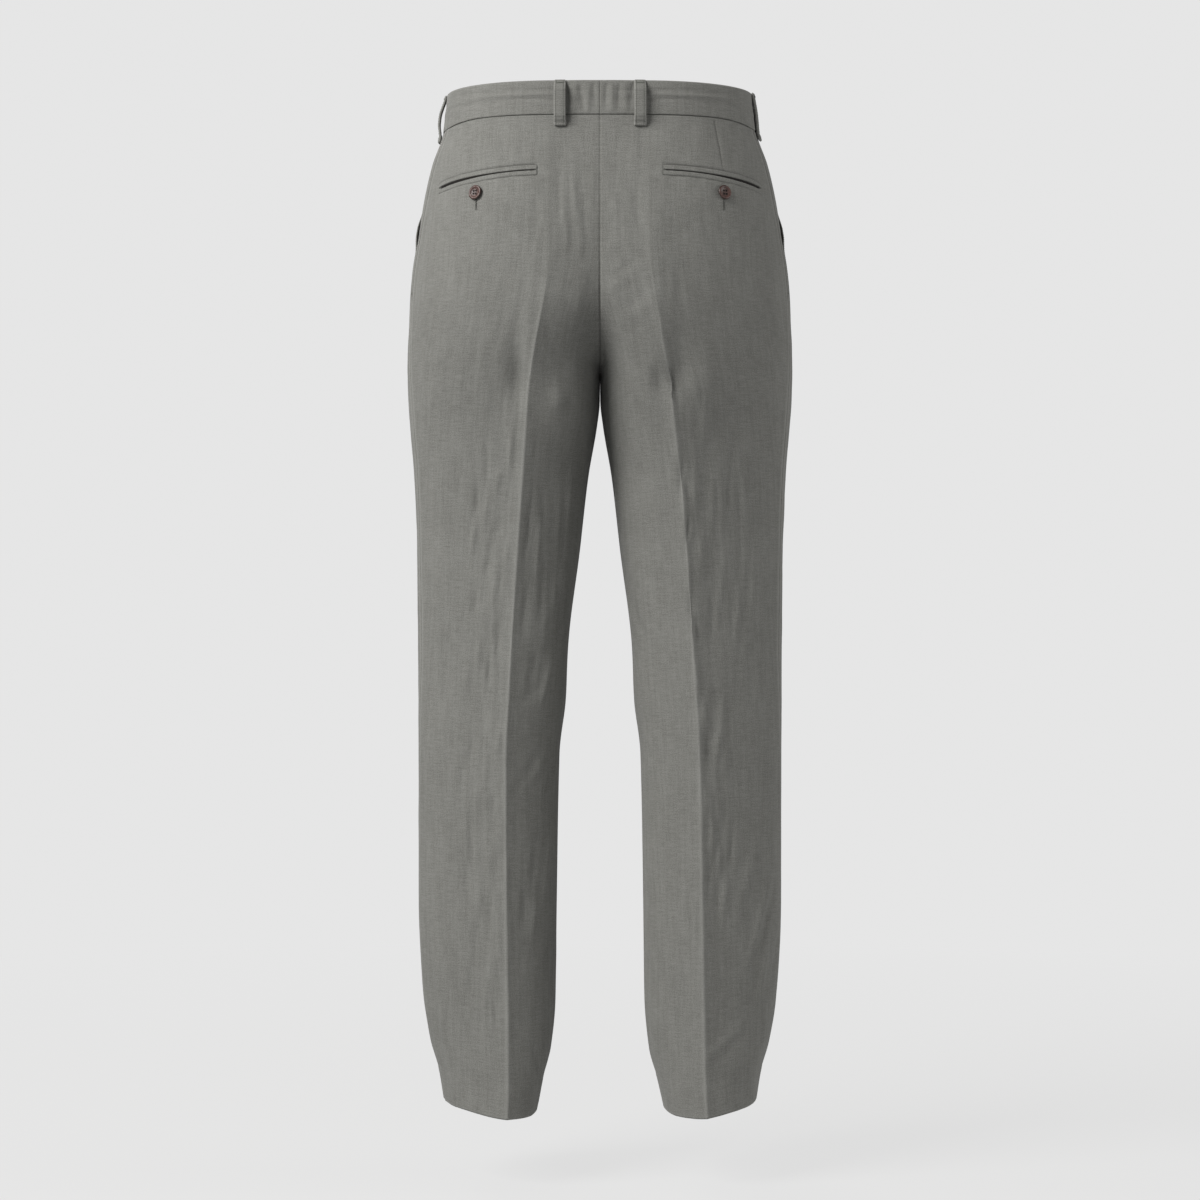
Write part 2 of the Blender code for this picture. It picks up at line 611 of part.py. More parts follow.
def button(name, point, normal, material):
    """A turned four-hole button with a raised rim, standing on its seat along the normal."""
    dished = BUTTON_THICK - BUTTON_DISH
    profile = (
        (0.0, dished),
        (BUTTON_RADIUS - 2.0 * BUTTON_RIM, dished),
        (BUTTON_RADIUS - 1.2 * BUTTON_RIM, BUTTON_THICK),
        (BUTTON_RADIUS - 0.4 * BUTTON_RIM, BUTTON_THICK),
        (BUTTON_RADIUS, BUTTON_THICK * 0.7),
        (BUTTON_RADIUS, BUTTON_THICK * 0.35),
        (BUTTON_RADIUS * 0.7, 0.0),
        (0.0, 0.0),
    )
    work = bmesh.new()
    line = [work.verts.new((radius, 0.0, level)) for radius, level in profile]
    edges = [work.edges.new(pair) for pair in zip(line, line[1:])]
    bmesh.ops.spin(work, geom=line + edges, cent=(0.0, 0.0, 0.0), axis=(0.0, 0.0, 1.0),
                   angle=math.tau, steps=BUTTON_SIDES, use_merge=True)
    bmesh.ops.remove_doubles(work, verts=work.verts, dist=0.00001)
    body = place_object(name, work, material, False)
    cutter = button_holes(name + "_holes")
    cut = body.modifiers.new("holes", "BOOLEAN")
    cut.object = cutter
    cut.operation = "DIFFERENCE"
    for thing in (body, cutter):
        thing.matrix_world = seat_matrix(point + normal * BUTTON_SHANK, normal)


def seat_matrix(point, normal):
    """The world matrix of a thing at a point, its z axis along the normal and its x axis level."""
    level = np.cross((0.0, 0.0, 1.0), normal)
    level /= np.linalg.norm(level)
    turned = np.eye(4)
    turned[:3, 0] = level
    turned[:3, 1] = np.cross(normal, level)
    turned[:3, 2] = normal
    turned[:3, 3] = point
    return Matrix(turned.tolist())


def button_holes(name):
    """Four small pins that cut the holes through a button."""
    work = bmesh.new()
    for x in (-1.0, 1.0):
        for y in (-1.0, 1.0):
            made = bmesh.ops.create_cone(
                work, cap_ends=True, cap_tris=False, segments=HOLE_SIDES, depth=4 * BUTTON_THICK,
                radius1=BUTTON_HOLE, radius2=BUTTON_HOLE)
            shift = (x * BUTTON_HOLE_STEP, y * BUTTON_HOLE_STEP, 0.0)
            bmesh.ops.translate(work, vec=shift, verts=made["verts"])
    mesh = bpy.data.meshes.new(name)
    work.to_mesh(mesh)
    work.free()
    cutter = bpy.data.objects.new(name, mesh)
    cutter.hide_render = True
    cutter.display_type = "WIRE"
    bpy.context.scene.collection.objects.link(cutter)
    return cutter


# ---------------------------------------------------------------- the whole garment
def build_leg(leg, linen, resin):
    """All pieces of one leg and its half of the waist; the right one is made at +X and mirrored."""
    mirror = leg == "right"
    back = panel_grid("back", leg)
    front = panel_grid("front", leg)
    facing = facing_grid(leg)
    band = band_grid(leg)
    cloth_wall("back_" + leg, back, CLOTH, linen, mirror)
    cloth_wall("front_" + leg, front, CLOTH, linen, mirror)
    cloth_wall("hip_facing_" + leg, facing, CLOTH, linen, mirror)
    cloth_wall("waistband_" + leg, band, BAND_WALL, linen, mirror, level=True)
    back_pocket(leg, back, linen, mirror)
    loops = (
        ("back", back, lambda drop: LOOP_BACK_ALONG / MM),
        ("side", facing, lambda drop: outline(leg, drop)[2]["widest"] + LOOP_SIDE_AHEAD[leg] / MM),
        ("front", front, lambda drop: outline(leg, drop)[2]["inner_front"] - LOOP_FRONT_ALONG / MM),
    )
    for place, under, center in loops:
        belt_loop("belt_loop_" + place + "_" + leg, LOOP_STAND[place], center, band, under,
                  linen, mirror)
    side = OTHER_SIDE if mirror else 1.0
    point, normal = back.at(BACK_BUTTON_ALONG / MM, BACK_BUTTON_DROP / MM)
    button("button_back_" + leg, point * side, normal * side, resin)
    if leg == "left":
        drop = BAND_DEPTH / MM / 2
        end = outline(leg, drop)[2]["inner_front"] + (TAB_LENGTH - TAB_BUTTON_FROM_END) / MM
        point, normal = band.at(end, drop)
        button("button_waist", point, normal, resin)


def main():
    """Clears the scene and builds the trousers."""
    for thing in list(bpy.data.objects):
        bpy.data.objects.remove(thing, do_unlink=True)
    linen = linen_material()
    resin = button_material()
    for leg in ("left", "right"):
        build_leg(leg, linen, resin)


main()
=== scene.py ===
# %% [markdown]
# # Linen trousers, made in code the way they are cut and sewn
#
# These are straight-leg linen trousers with a waistband, belt loops, slant front pockets, two
# buttoned back pockets and a pressed crease in each leg. They keep the hollow form that they have
# while somebody wears them. The solids that carry the garment come packed in a frame; this script
# gives every one of them its cloth: thin shells with folds, rolled seams, stitches and a weave.
#
# The first step loads the frame. Nothing in it is moved, so whatever is sewn here sits where the
# frame says. The finished garment has to stay inside it.

# %% Load the frame
import math

import bmesh
import bpy
import numpy as np
from mathutils import Matrix, Vector


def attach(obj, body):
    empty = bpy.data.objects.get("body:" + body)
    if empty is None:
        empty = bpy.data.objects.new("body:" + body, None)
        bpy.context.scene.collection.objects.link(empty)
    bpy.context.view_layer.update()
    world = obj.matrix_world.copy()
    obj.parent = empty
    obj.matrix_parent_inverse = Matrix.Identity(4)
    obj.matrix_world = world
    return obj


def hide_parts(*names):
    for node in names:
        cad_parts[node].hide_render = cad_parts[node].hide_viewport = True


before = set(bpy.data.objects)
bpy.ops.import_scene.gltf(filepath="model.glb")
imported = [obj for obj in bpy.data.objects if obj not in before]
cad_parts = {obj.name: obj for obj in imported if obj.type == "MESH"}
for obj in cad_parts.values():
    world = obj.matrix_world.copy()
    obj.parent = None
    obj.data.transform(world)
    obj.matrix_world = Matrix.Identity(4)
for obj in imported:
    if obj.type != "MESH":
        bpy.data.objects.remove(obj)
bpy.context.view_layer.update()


# %% Three small helpers for meshes and objects
def placed(name, data):
    """An object that shows a mesh, a lamp or a camera, linked into the scene."""
    thing = bpy.data.objects.new(name, data)
    bpy.context.scene.collection.objects.link(thing)
    return thing


def mesh_from(name, work):
    """A mesh made from a bmesh, which is freed."""
    mesh = bpy.data.meshes.new(name)
    work.to_mesh(mesh)
    work.free()
    return mesh


def worked_out(thing):
    """The plain mesh of an object with its modifiers worked out."""
    bpy.context.view_layer.update()
    view = bpy.context.evaluated_depsgraph_get()
    return bpy.data.meshes.new_from_object(thing.evaluated_get(view), depsgraph=view)


# %% [markdown]
# ## Sizes
#
# A cutter measures trousers downwards from the top edge of the waistband, so heights are told as
# that drop. Sizes are in millimetres, the unit of a pattern; points in space are in metres. The
# front faces -Y and the left leg lies at +X. The right leg is made at +X too and then mirrored.

# %% Driving sizes, in millimetres
MM = 0.001
BACK_LENGTH = 1060.0
BAND_DEPTH = 35.0
CROTCH_DROP = 290.0
CLOTH = 1.3
BAND_WALL = 2.2
BAND_PROUD = 0.4
OTHER_SIDE = np.array((-1.0, 1.0, 1.0))

HEM_RISE_FRONT, HEM_RISE_DROPS, HEM_RISE_DEPTHS = 10.0, (850.0, 1060.0), (-80.0, 90.0)
HEM_RISE_OUTER, HEM_RISE_ACROSS = 8.0, (95.0, 160.0)
WAIST_DIP_FRONT, WAIST_DIP_DROPS, WAIST_DIP_DEPTHS = 8.0, (0.0, 260.0), (0.0, 110.0)
SEAM_DIP_SIDE, SEAM_DIP_DEPTHS, SEAM_DIP_FADE = 5.0, (25.0, 95.0), (35.0, 140.0)

# %% [markdown]
# ## The level outlines
#
# A trouser leg could be sculpted, or draped in a cloth simulation over a body. Here it is lofted
# instead, because a tailored leg is ruled by few sizes: at each drop the outline has a widest
# point, a back crease and a front crease, and inner edges where the panels meet. A row below gives
# those sizes for one drop, and everything between the rows is read off smooth curves.

# %% The section table
SECTION_COLUMNS = (
    "drop", "wide", "wide_y", "seam", "inner", "back", "front", "back_in", "front_in",
    "left", "right", "ahead", "fold_b", "fold_f", "turn_b", "turn_f",
)
SECTIONS = (
    (0, 159.8, 2, 36, 0.15, 110, -105, 112, -108, 50, 50, 72, 0, 0, 0, 0),
    (35, 164.2, 3, 36, 0.15, 113, -108, 114.5, -110.5, 50, 50, 73, 0, 0, 0, 0),
    (70, 175.6, 5, 36, 0.15, 121, -113, 121, -114.5, 50, 50, 75, 0, 0, 0, 0),
    (110, 184.0, 7, 35, 0.15, 130.5, -117, 128.5, -116, 49.5, 49.5, 77, 0, 0, 0, 0),
    (150, 190.2, 8, 34, 0.15, 138, -120, 133, -115.5, 49.5, 50, 79, 3, 3, 6, 3),
    (190, 196.6, 8, 33, 0.15, 141.5, -122, 133, -110, 52, 52, 81, 7, 7, 11, 10),
    (220, 198.9, 7, 33, 0.15, 141.3, -123, 128.5, -101, 56, 56, 83, 10, 9, 15, 20),
    (245, 199.8, 6, 33, 0.15, 138.4, -123.5, 117, -86, 61, 60.5, 84, 13.5, 11, 23, 34),
    (265, 200.8, 5, 33, 0.15, 133.6, -123.5, 95, -64, 65, 63.5, 85, 16.5, 13, 40, 54),
    (280, 201.2, 4, 33, 0.15, 128.9, -123, 61, -34, 67.5, 66.5, 86, 17, 14, 63, 74),
    (290, 201.3, 4, 33, 0.15, 125.3, -122.5, 4, 4, 69, 68.5, 87, 17, 15, 88, 90),
    (320, 200.6, 2, 33, 0.3, 113.8, -121, 2, 2, 73, 73, 90, 17.8, 17, 90, 90),
    (345, 199.3, 0, 32, 3.0, 105.7, -119, 1, 1, 75, 75.5, 92, 19.4, 18, 90, 90),
    (400, 195.0, -4, 29, 12.3, 94, -113, 0, 0, 79, 82.5, 96, 22, 20, 90, 90),
    (475, 192.5, -8, 27, 21.0, 84, -104, -3, -3, 84.5, 89, 101, 24, 22, 90, 90),
    (580, 191.1, -9, 26, 33.8, 77, -96, -6, -6, 91.3, 96, 108, 25, 24, 90, 90),
    (630, 190.8, -8.6, 21, 35.8, 75.6, -93.2, -6, -6, 94, 99.3, 110.6, 25, 24.6, 90, 90),
    (690, 190.6, -8, 16, 42.6, 75, -91, -6, -6, 97, 102.5, 113, 25, 25, 90, 90),
    (845, 190.0, -5, 12, 45.5, 77, -86, -4, -4, 96.3, 105.2, 116, 25, 25, 90, 90),
    (950, 184.8, -2, 11, 46.8, 80, -83, -2, -2, 95, 106.5, 118, 25, 25, 90, 90),
    (1000, 177.0, -1, 10, 51.5, 83, -84, 0, 0, 94.5, 107.5, 119, 25, 25, 90, 90),
    (1030, 168.6, 0, 10, 59.5, 85.5, -86, 0, 0, 94.2, 108.4, 120, 25, 25, 90, 90),
    (1060, 163.5, 0, 10, 66.5, 88, -89, 0, 0, 95, 110, 121, 25, 25, 90, 90),
)
TABLE = {name: np.array([row[i] for row in SECTIONS], dtype=float)
         for i, name in enumerate(SECTION_COLUMNS)}
print("sections:", len(SECTIONS), "from the waist to a hem", BACK_LENGTH, "mm below it")


# %% Numbers that change smoothly
def ease(value, start, end):
    """0 up to start, 1 from end, and a soft S between them."""
    share = np.clip((value - start) / (end - start), 0.0, 1.0)
    return share * share * (3.0 - 2.0 * share)


def bell(value, reach):
    """1 at zero, falling away softly; about a third at the reach."""
    return np.exp(-(value / reach) ** 2)


def slopes_through(places, values):
    """Slopes that carry a smooth curve through the values without passing beyond them."""
    rises = np.diff(values) / np.diff(places)
    slopes = np.zeros(len(values))
    for i in range(1, len(values) - 1):
        if rises[i - 1] * rises[i] > 0.0:
            slopes[i] = 2.0 * rises[i - 1] * rises[i] / (rises[i - 1] + rises[i])
    slopes[0] = rises[0]
    slopes[-1] = rises[-1]
    return slopes


SLOPES = {name: slopes_through(TABLE["drop"], TABLE[name]) for name in SECTION_COLUMNS[1:]}


def measure(name, drop):
    """A column of the section table, read smoothly at a drop."""
    drops = TABLE["drop"]
    i = int(np.clip(np.searchsorted(drops, drop) - 1, 0, len(drops) - 2))
    step = drops[i + 1] - drops[i]
    t = (drop - drops[i]) / step
    start, end = TABLE[name][i], TABLE[name][i + 1]
    lead, trail = SLOPES[name][i] * step, SLOPES[name][i + 1] * step
    swing = t * (1.0 - t) * (lead * (1.0 - t) - trail * t)
    return start + (end - start) * t * t * (3.0 - 2.0 * t) + swing


print("half width at the seat:", round(measure("wide", 265.0), 1), "mm")

# %% One outline
OUTLINE_STEPS = 160
CURVE_HANDLE = 0.55
SEAT_LEAN = 1.3


def way(angle):
    """Direction of travel on an outline: 0 is straight towards the middle, 90 straight back."""
    return np.array((-math.cos(math.radians(angle)), math.sin(math.radians(angle))))


def bend(start, start_way, end, end_way):
    """A curve that leaves start along start_way and reaches end along end_way."""
    span = end - start
    out = start + start_way * CURVE_HANDLE * max(span.dot(start_way), 1.0)
    back = end - end_way * CURVE_HANDLE * max(span.dot(end_way), 1.0)
    t = np.linspace(0.0, 1.0, OUTLINE_STEPS)[:, None]
    u = 1.0 - t
    return u ** 3 * start + 3 * u * u * t * out + 3 * u * t * t * back + t ** 3 * end


def half_outline(drop, crease_name, depth, inner_depth, fold, turn, facing):
    """From the widest point over one crease to the inner edge; facing is 1 behind, -1 in front."""
    crease = np.array((measure(crease_name, drop), facing * measure(depth, drop)))
    inner_depth = inner_depth if drop < CROTCH_DROP else "back_in"
    inner = np.array((measure("inner", drop), facing * measure(inner_depth, drop)))
    widest = np.array((measure("wide", drop), facing * measure("wide_y", drop)))
    pressed = measure(fold, drop)
    rise = max(inner[1] - crease[1], 0.0)
    tilt = math.degrees(math.atan2(rise * SEAT_LEAN, crease[0]))
    flank = bend(widest, way(90.0), crease, way(tilt + pressed))
    inside = bend(crease, way(tilt - pressed), inner, way(-measure(turn, drop)))
    points = np.vstack((flank, inside[1:]))
    points[:, 1] *= facing
    return points


def outline(leg, drop):
    """The whole outline at one drop: points, distance along the cloth, and where its marks lie."""
    back = half_outline(drop, leg, "back", "back_in", "fold_b", "turn_b", 1.0)
    front = half_outline(drop, "ahead", "front", "front_in", "fold_f", "turn_f", -1.0)
    points = np.vstack((back[::-1], front[1:]))
    along = np.concatenate(([0.0], np.cumsum(np.linalg.norm(np.diff(points, axis=0), axis=1))))
    widest = along[len(back) - 1]
    marks = {
        "crease_back": along[OUTLINE_STEPS - 1],
        "side_seam": widest - measure("seam", drop),
        "widest": widest,
        "crease_front": along[len(back) - 1 + OUTLINE_STEPS - 1],
        "inner_front": along[-1],
    }
    return points, along, marks


def height(x, y, drop):
    """The level of a point: the hem rises in front and outwards, the waist dips in front, and the
    side seam dips under the band."""
    hem = HEM_RISE_FRONT * ease(-y, *HEM_RISE_DEPTHS) + HEM_RISE_OUTER * ease(x, *HEM_RISE_ACROSS)
    hem = hem * ease(drop, *HEM_RISE_DROPS)
    dip = WAIST_DIP_FRONT * (1.0 - ease(drop, *WAIST_DIP_DROPS)) * ease(-y, *WAIST_DIP_DEPTHS)
    side = SEAM_DIP_SIDE * (1.0 - ease(np.abs(y), *SEAM_DIP_DEPTHS))
    side = side * ease(drop, 0.0, BAND_DEPTH) * (1.0 - ease(drop, *SEAM_DIP_FADE))
    return BAND_DEPTH / 2 - drop + hem - dip - side


print("seat girth:", round(2 * outline("left", 240.0)[1][-1]), "mm,",
      "hem girth:", round(outline("left", BACK_LENGTH)[1][-1]), "mm")

# %% [markdown]
# ## Cloth as a grid of points
#
# A panel is a grid: rows follow the drop and columns follow the outline. The grid remembers each
# point's distance along the cloth, so a pocket or a stitch can be placed the way a tailor chalks
# it, as so far from the centre seam and so far down. Rows and columns crowd together where the
# cloth turns sharply, at seams and at the pressed crease, which keeps the triangles for the places
# that need them.


# %% Grids of points
class Grid:
    """Rows of points on a piece's outer face, with normals, distances along and drops."""

    def __init__(self, points, normals, along, drops):
        self.points = points
        self.normals = normals
        self.along = along
        self.drops = drops

    def lifted(self, lift):
        """The same grid raised along its normals by a lift in millimetres."""
        return self.moved(self.normals * np.asarray(lift)[..., None] * MM)

    def moved(self, shift):
        """The same grid with its points moved, its normals read again off the new surface."""
        points = self.points + shift
        return Grid(points, facing_out(points, self.normals), self.along, self.drops)

    def at(self, along, drop):
        """The point and the normal at a distance along and a drop."""
        r = int(np.clip(np.searchsorted(self.drops, drop) - 1, 0, len(self.drops) - 2))
        w = (drop - self.drops[r]) / (self.drops[r + 1] - self.drops[r])
        line = (1.0 - w) * self.along[r] + w * self.along[r + 1]
        c = int(np.clip(np.searchsorted(line, along) - 1, 0, len(line) - 2))
        f = (along - line[c]) / (line[c + 1] - line[c])
        shares = ((1 - w) * (1 - f), (1 - w) * f, w * (1 - f), w * f)
        corners = ((r, c), (r, c + 1), (r + 1, c), (r + 1, c + 1))
        point = sum(s * self.points[k] for s, k in zip(shares, corners))
        normal = sum(s * self.normals[k] for s, k in zip(shares, corners))
        return point, normal / np.linalg.norm(normal)

    def trace(self, alongs, drops, lift=0.0):
        """Points and normals of a line drawn on the piece, raised by a lift in millimetres."""
        found = [self.at(a, d) for a, d in np.broadcast(alongs, drops)]
        normals = np.array([normal for _, normal in found])
        return np.array([point for point, _ in found]) + normals * lift * MM, normals


def facing_out(points, like):
    """Normals of a grid of points, on the same side as the given ones."""
    normals = np.cross(np.gradient(points, axis=1), np.gradient(points, axis=0))
    normals /= np.maximum(np.linalg.norm(normals, axis=2), 1e-12)[:, :, None]
    sides = np.sign(np.sum(normals * like, axis=2))
    return normals * np.where(sides == 0.0, 1.0, sides)[:, :, None]


def crowded(count, crowd):
    """Shares from 0 to 1 that lie closer together at both ends."""
    t = np.linspace(0.0, 1.0, count)
    return t - crowd * np.sin(2.0 * np.pi * t) / (2.0 * np.pi)


def spread_rows(*stops):
    """Drops from stop to stop: each stop is (drop, step that leads on to the next stop)."""
    rows = []
    for (drop, step), (after, _) in zip(stops, stops[1:]):
        count = max(int(round((after - drop) / step)), 1)
        rows.extend(np.linspace(drop, after, count, endpoint=False))
    return np.array(rows + [stops[-1][0]])


def grid_of(leg, drops, places_at):
    """A Grid over the leg's outlines, and the marks of each row; places_at gives its distances."""
    points, ways, alongs, marked = [], [], [], []
    for drop in drops:
        path, along, marks = outline(leg, float(drop))
        places = places_at(float(drop), marks)
        tangents = np.gradient(path, axis=0)
        tangents /= np.linalg.norm(tangents, axis=1)[:, None]
        x, y = (np.interp(places, along, path[:, k]) for k in (0, 1))
        tx, ty = (np.interp(places, along, tangents[:, k]) for k in (0, 1))
        points.append(np.stack((x, y, height(x, y, drop)), axis=1) * MM)
        ways.append(np.stack((tx, ty, np.zeros_like(tx)), axis=1))
        alongs.append(places)
        marked.append(marks)
    points = np.array(points)
    normals = np.cross(np.array(ways), np.gradient(points, axis=0))
    normals /= np.linalg.norm(normals, axis=2)[:, :, None]
    return Grid(points, normals, np.array(alongs), np.array(drops, dtype=float)), marked


print("column shares, crowded at both ends:", np.round(crowded(7, 0.6), 3))

# %% [markdown]
# ## Folds, ripples and rumples
#
# Linen holds every bend it is given. Three layers make its surface here. The large folds come
# first, each given one by one. Smaller ripples come in families: they run down from the seat, stand
# close together beside the crease at the thigh, and swing round the inner knee. A family says
# where its ripples lie and how they run, and a fixed seed makes them uneven in length, depth and
# spacing, as they are on worn trousers. Last, a fine rumple comes from seeded noise stretched
# along the leg. A cloth simulation could give folds too, but it would not put them where a wearer
# does.

# %% The large folds
# across is the distance from the crease, positive towards the side seam, and lift is out of the
# cloth. All are in millimetres but the lean, in degrees, positive towards the crease on the way
# down.
FOLD_COLUMNS = ("across", "drop", "half_width", "half_length", "lean", "lift")
FOLDS = {
    ("back", "left"): ((15, 302, 17, 36, 2, -4.0), (8, 314, 11, 18, 0, -1.9),
                       (-44, 330, 25, 42, -16, 9.0), (-34, 560, 16, 70, 14, 2.5),
                       (9, 256, 6, 34, 6, 1.5), (-19, 270, 6, 20, 37, -1.4),
                       (20, 282, 8, 40, 5, -1.8), (14, 304, 9, 18, 5, -1.8),
                       (-30, 321, 7, 13, 9, 3.0)),
    ("back", "right"): ((10, 290, 11, 36, 16, -4.2), (36, 314, 17, 42, 16, 5.6),
                        (62, 320, 34, 60, 10, 2.6), (-13, 312, 9, 15, 0, -2.2),
                        (-36, 322, 26, 40, 0, 2.0),
                        (-11, 305, 7, 14, -4, -1.8), (24, 309, 8, 14, -8, 2.7),
                        (3, 310, 7, 15, -6, -2.7), (40, 880, 20, 70, -16, 2.5)),
    ("front", "left"): ((10, 960, 70, 16, 8, -4.0), (20, 1002, 60, 18, -6, 3.5),
                        (-30, 300, 20, 60, -35, -3.0)),
    ("front", "right"): ((6, 968, 70, 16, -8, -4.0), (16, 1008, 60, 18, 8, 3.5),
                         (-30, 304, 20, 60, -35, -3.0)),
}
FOLD_FREE_X = (3.0, 20.0)
FOLD_FREE_DROPS = (380.0, 460.0)


def fold_lift(rows, across, drops):
    """How far a table's folds move the cloth out, at every point of a grid."""
    lift = np.zeros_like(across)
    down = np.broadcast_to(drops[:, None], across.shape)
    for row in rows:
        fold = dict(zip(FOLD_COLUMNS, row))
        lean = math.radians(fold["lean"])
        x = across - fold["across"]
        y = down - fold["drop"]
        wide = (x * math.cos(lean) + y * math.sin(lean)) / fold["half_width"]
        long = (-x * math.sin(lean) + y * math.cos(lean)) / fold["half_length"]
        lift += fold["lift"] * np.exp(-(wide ** 2 + long ** 2))
    return lift


print("large folds:", sum(len(rows) for rows in FOLDS.values()))

# %% The small ripples
# A row is a family of ripples that run together: its middle, how far it spreads across and down,
# how many there are, and the size, lean and lift of a middling one. Ridges and hollows take turns,
# but where the lift is below zero all are hollows.
FAMILY_COLUMNS = ("across", "drop", "spread", "run", "count",
                  "half_width", "half_length", "lean", "lift")
RIPPLE_FAMILIES = {
    ("back", "left"): (
        (-10, 140, 30, 38, 9, 3.8, 22, 4, 0.60),
        (-25, 222, 16, 9, 3, 4.4, 33, 5, 0.33),
        (38, 430, 20, 60, 8, 3.7, 18, 0, 0.75),
        (-30, 455, 24, 26, 7, 3.8, 28, 3, 0.85),
        (32, 548, 20, 75, 9, 3.9, 17, 2, 0.75),
        (-32, 535, 22, 32, 6, 3.9, 24, -2, 0.70),
        (-40, 592, 24, 24, 5, 3.8, 25, -8, 0.55),
        (-30, 622, 14, 12, 3, 4.6, 18, -62, 0.30),
        (34, 715, 22, 52, 7, 3.7, 17, 0, 0.65),
        (-32, 704, 16, 16, 4, 4.6, 16, -40, 0.30),
        (-56, 712, 12, 10, 2, 3.6, 25, -14, 0.70),
        (32, 822, 20, 52, 7, 3.7, 16, 0, 0.65),
        (-35, 835, 22, 66, 6, 3.8, 19, -8, 0.60),
        (28, 915, 20, 50, 6, 4.0, 22, -2, 0.58),
        (85, 975, 9, 8, 2, 5.5, 52, 10, 0.80),
        (-42, 1010, 10, 22, 3, 4.8, 19, 22, 0.80),
    ),
    ("back", "right"): (
        (-22, 127, 18, 18, 5, 4.4, 26, -5, 0.65),
        (-30, 206, 14, 44, 5, 5.0, 19, 58, 0.56),
        (22, 214, 18, 9, 3, 5.0, 24, 5, 0.60),
        (60, 362, 24, 28, 3, 5.3, 38, 9, 0.55),
        (4, 474, 4, 94, 7, 3.8, 17, 4, -0.90),
        (44, 425, 26, 20, 5, 4.6, 34, 8, 0.70),
        (52, 520, 30, 44, 7, 4.8, 36, 7, 0.60),
        (-72, 556, 15, 28, 3, 3.7, 34, -20, 0.65),
        (-32, 445, 3, 75, 2, 1.8, 26, -89, -0.35),
        (20, 655, 18, 45, 7, 4.6, 15, 4, 0.80),
        (-50, 690, 16, 16, 3, 4.8, 14, -42, 0.45),
        (22, 790, 18, 56, 8, 4.0, 18, 3, 0.75),
        (-50, 808, 14, 20, 2, 5.0, 27, -5, 0.50),
        (78, 870, 24, 66, 5, 5.4, 33, 17, 0.80),
        (-24, 925, 14, 28, 3, 5.0, 22, -10, 0.45),
        (26, 991, 4, 7, 2, 5.5, 25, 60, 0.42),
        (-42, 1011, 4, 4, 1, 5.5, 32, 7, 0.60),
    ),
    ("front", "left"): (
        (-16, 272, 20, 24, 3, 5.7, 58, -30, 0.75),
        (16, 352, 12, 28, 2, 5.5, 60, -11, 0.60),
        (-4, 540, 34, 22, 2, 6.0, 64, 5, 0.60),
        (8, 760, 32, 110, 5, 5.8, 44, 2, 0.60),
    ),
    ("front", "right"): (
        (-20, 276, 14, 34, 3, 5.7, 56, -28, 0.75),
        (24, 372, 12, 30, 2, 5.5, 58, -7, 0.60),
        (-2, 545, 36, 40, 3, 6.0, 60, 4, 0.60),
        (6, 770, 32, 105, 5, 5.8, 44, 0, 0.60),
    ),
}
RIPPLE_SEEDS = dict(zip(RIPPLE_FAMILIES, (11, 12, 13, 14)))
RIPPLE_STRENGTH, RIPPLE_GROWS = {"left": (1.5, 2.3), "right": (1.3, 2.8)}, (240.0, 340.0)
# Steps of the golden share never fall into step with one another, so no two ripples line up.
GOLDEN_SHARE, ACROSS_STRAY, DOWN_STRAY = 0.618, (-0.2, 0.2), (0.1, 0.9)
WIDTH_STRAY, LENGTH_STRAY, LEAN_STRAY, LIFT_STRAY = (0.8, 1.25), (0.65, 1.35), (-6.0, 6.0), (0.7, 1.3)


def ripples_of(families, seed):
    """Every family's ripples as rows like the large folds', scattered unevenly by a fixed seed."""
    dice = np.random.default_rng(seed)
    rows = []
    for row in families:
        family = dict(zip(FAMILY_COLUMNS, row))
        for step in range(family["count"]):
            across = 2.0 * (step * GOLDEN_SHARE % 1.0) - 1.0 + dice.uniform(*ACROSS_STRAY)
            down = 2.0 * (step + dice.uniform(*DOWN_STRAY)) / family["count"] - 1.0
            lift = -family["lift"] if family["lift"] > 0.0 and step % 2 else family["lift"]
            rows.append((
                family["across"] + across * family["spread"],
                family["drop"] + down * family["run"],
                family["half_width"] * dice.uniform(*WIDTH_STRAY),
                family["half_length"] * dice.uniform(*LENGTH_STRAY),
                family["lean"] + dice.uniform(*LEAN_STRAY),
                lift * dice.uniform(*LIFT_STRAY),
            ))
    return rows


RIPPLES = {key: ripples_of(rows, RIPPLE_SEEDS[key]) for key, rows in RIPPLE_FAMILIES.items()}


def ripple_lift(panel, leg, across, drops):
    """The small ripples' lift: weaker on the seat, which the body fills, than down the leg."""
    seat, down = RIPPLE_STRENGTH[leg]
    strength = seat + (down - seat) * ease(drops, *RIPPLE_GROWS)[:, None]
    return strength * fold_lift(RIPPLES[panel, leg], across, drops)


print("ripples:", {" ".join(key): len(rows) for key, rows in RIPPLES.items()})

# %% Rumples from seeded noise
RUMPLE_COLUMNS = ("wide", "long", "lift")
RUMPLES = ((36, 190, 0.55), (15, 80, 0.40), (8, 36, 0.26), (4.6, 20, 0.13))
CRUMPLE_ACROSS, CRUMPLE_REACH, CRUMPLE_GAIN = 20.0, 20.0, 1.1
CRUMPLE_START, CRUMPLE_END, CRUMPLE_FADE = 340.0, 980.0, 90.0
RUMPLE_SEEDS = dict(zip(RIPPLE_FAMILIES, (11, 23, 37, 41)))
DRIFT, DRIFT_WIDE, DRIFT_LONG = 9.0, 60.0, 120.0
LATTICE = 64


